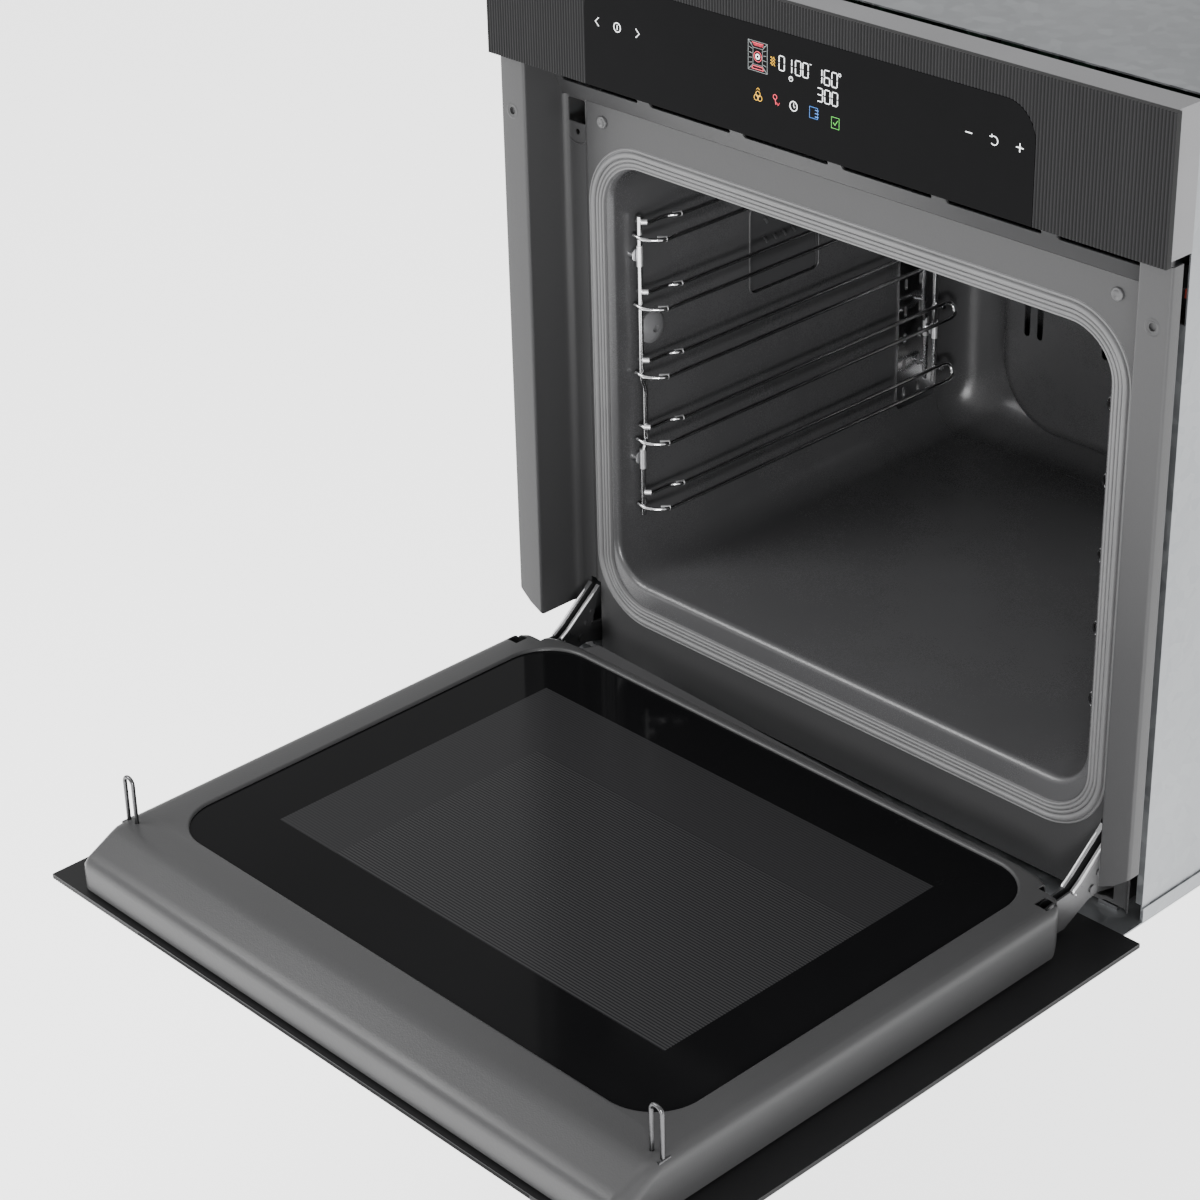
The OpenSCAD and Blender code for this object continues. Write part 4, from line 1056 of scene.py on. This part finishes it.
leverLook = {"path": ((-13, 34), (-16, 37.2), (-8, 42.2), (14, 59.7), (20, 63.6), (26, 67.8)),
             "half": 5.0 * mm, "bead": 1.0 * mm}


def buildLeverRims(look):
    # Rolled edges of both hinge levers, in a bright finish that paints their highlight
    rims = []
    for side in (-1, 1):
        for offset in (-look["half"], look["half"]):
            x = side * frontFrame["hingeX"] + offset
            rims.append(tube("rim", [(x, y * mm, z * mm) for y, z in look["path"]], look["bead"], .006))
    finishPiece(join("lever_rims", rims), "hinge_steel", "door", material=paintedHighlight, sharp=60)


buildLeverRims(leverLook)
print("hinge levers trimmed")

lampLook = {"bead": .9 * mm, "margin": 1.5 * mm, "corner": 6.5 * mm, "proud": .4 * mm, "louvre": 1.2 * mm,
            "length": 5 * mm, "columns": 5, "rows": 2, "columnPitch": 10.5 * mm, "rowPitch": 16 * mm,
            "first": (16 * mm, 12 * mm)}


def buildLampTrim(look):
    low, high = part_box("lamp_lens")
    margin = look["margin"]
    x = high.x + look["proud"]
    outline = ringPoints((low.y - margin, low.z - margin), (high.y + margin, high.z + margin), look["corner"], 5)
    path = [(-cavity["half"] + .2 * mm, y, z) for y, z in outline]
    finishPiece(tube("lamp_bezel", path, look["bead"], closed=True), "cavity_enamel", "carcass", sharp=60)
    louvres = []
    for row in range(look["rows"]):
        for column in range(look["columns"]):
            y = low.y + look["first"][0] + column * look["columnPitch"]
            z = high.z - look["first"][1] - row * look["rowPitch"]
            path = [(x - .6 * mm, y, z), (x, y + 1.5 * mm, z - 1.2 * mm),
                    (x - .6 * mm, y + 4 * mm, z - look["length"])]
            louvres.append(tube("louvre", path, look["louvre"], 1 * mm))
    finishPiece(join("lamp_louvres", louvres), "cavity_enamel", "carcass", sharp=60)


buildLampTrim(lampLook)
print("lamp trim built")

for part in record["subparts"]:
    piece = nodes[part["node"]]
    material = finishes[part["material_slot"]].material
    if not piece.material_slots:
        piece.data.materials.append(material)
    for slot in piece.material_slots:
        slot.material = material
print("CAD pieces finished")

studio = {"eye": (1.28038, -1.40423, 1.19039), "forward": (-.641, .601, -.477), "right": (.692, .721, -.0219),
          "lens": 91.59, "floor": -.34, "floorHalf": 9, "sky": .9}
# Place, target, size and power of each soft light
softLights = {"key": ((-1.3, -1.9, 1.9), (0, 0, .25), (1.4, 1.1), 40),
              "top": ((.1, -.3, 2.4), (0, -.1, .2), (1.6, 1.4), 12),
              "near": ((-.80, -.85, .80), (-.25, 0, .35), (.5, .5), 6),
              "fill": ((1.25, -1.25, .42), (-.225, .22, .30), (.4, .35), 22)}


def areaLight(name, place, target, size, power):
    data = bpy.data.lights.new(name, "AREA")
    data.shape = "RECTANGLE"
    data.size, data.size_y = size
    data.energy = power
    light = bpy.data.objects.new(name, data)
    light.location = place
    light.rotation_euler = (Vector(target) - Vector(place)).to_track_quat("-Z", "Y").to_euler()
    bpy.context.scene.collection.objects.link(light)


floorMesh = bpy.data.meshes.new("floor")
floorCorners = ((-1, -1), (1, -1), (1, 1), (-1, 1))
floorMesh.from_pydata([(x * studio["floorHalf"], y * studio["floorHalf"], studio["floor"])
                       for x, y in floorCorners], [], [(0, 1, 2, 3)])
floor = addObject("floor", floorMesh)
plain = Finish("studio_floor", {"Roughness": .9, "Emission Strength": 2.0})
haze = plain.noise(plain.place(), .6)
plain.give("Base Color", plain.mix((.93, .93, .93, 1), (.97, .97, .97, 1), haze))
plain.give("Emission Color", plain.mix((.97, .97, .97, 1), (1, 1, 1, 1), haze))
floor.data.materials.append(plain.material)

world = bpy.data.worlds.new("studio")
world.use_nodes = True
world.node_tree.nodes["Background"].inputs[0].default_value = (1, 1, 1, 1)
world.node_tree.nodes["Background"].inputs[1].default_value = studio["sky"]
bpy.context.scene.world = world
for name, settings in softLights.items():
    areaLight(name, *settings)

cameraData = bpy.data.cameras.new("camera")
cameraData.lens = studio["lens"]
cameraData.sensor_width = 36
cameraData.clip_start = .05
camera = bpy.data.objects.new("camera", cameraData)
bpy.context.scene.collection.objects.link(camera)
forward = Vector(studio["forward"]).normalized()
right = Vector(studio["right"])
right = (right - forward * right.dot(forward)).normalized()
upward = right.cross(forward)
turn = Matrix((right, upward, -forward)).transposed()
camera.matrix_world = Matrix.Translation(studio["eye"]) @ turn.to_4x4()
bpy.context.scene.camera = camera
print("studio ready")
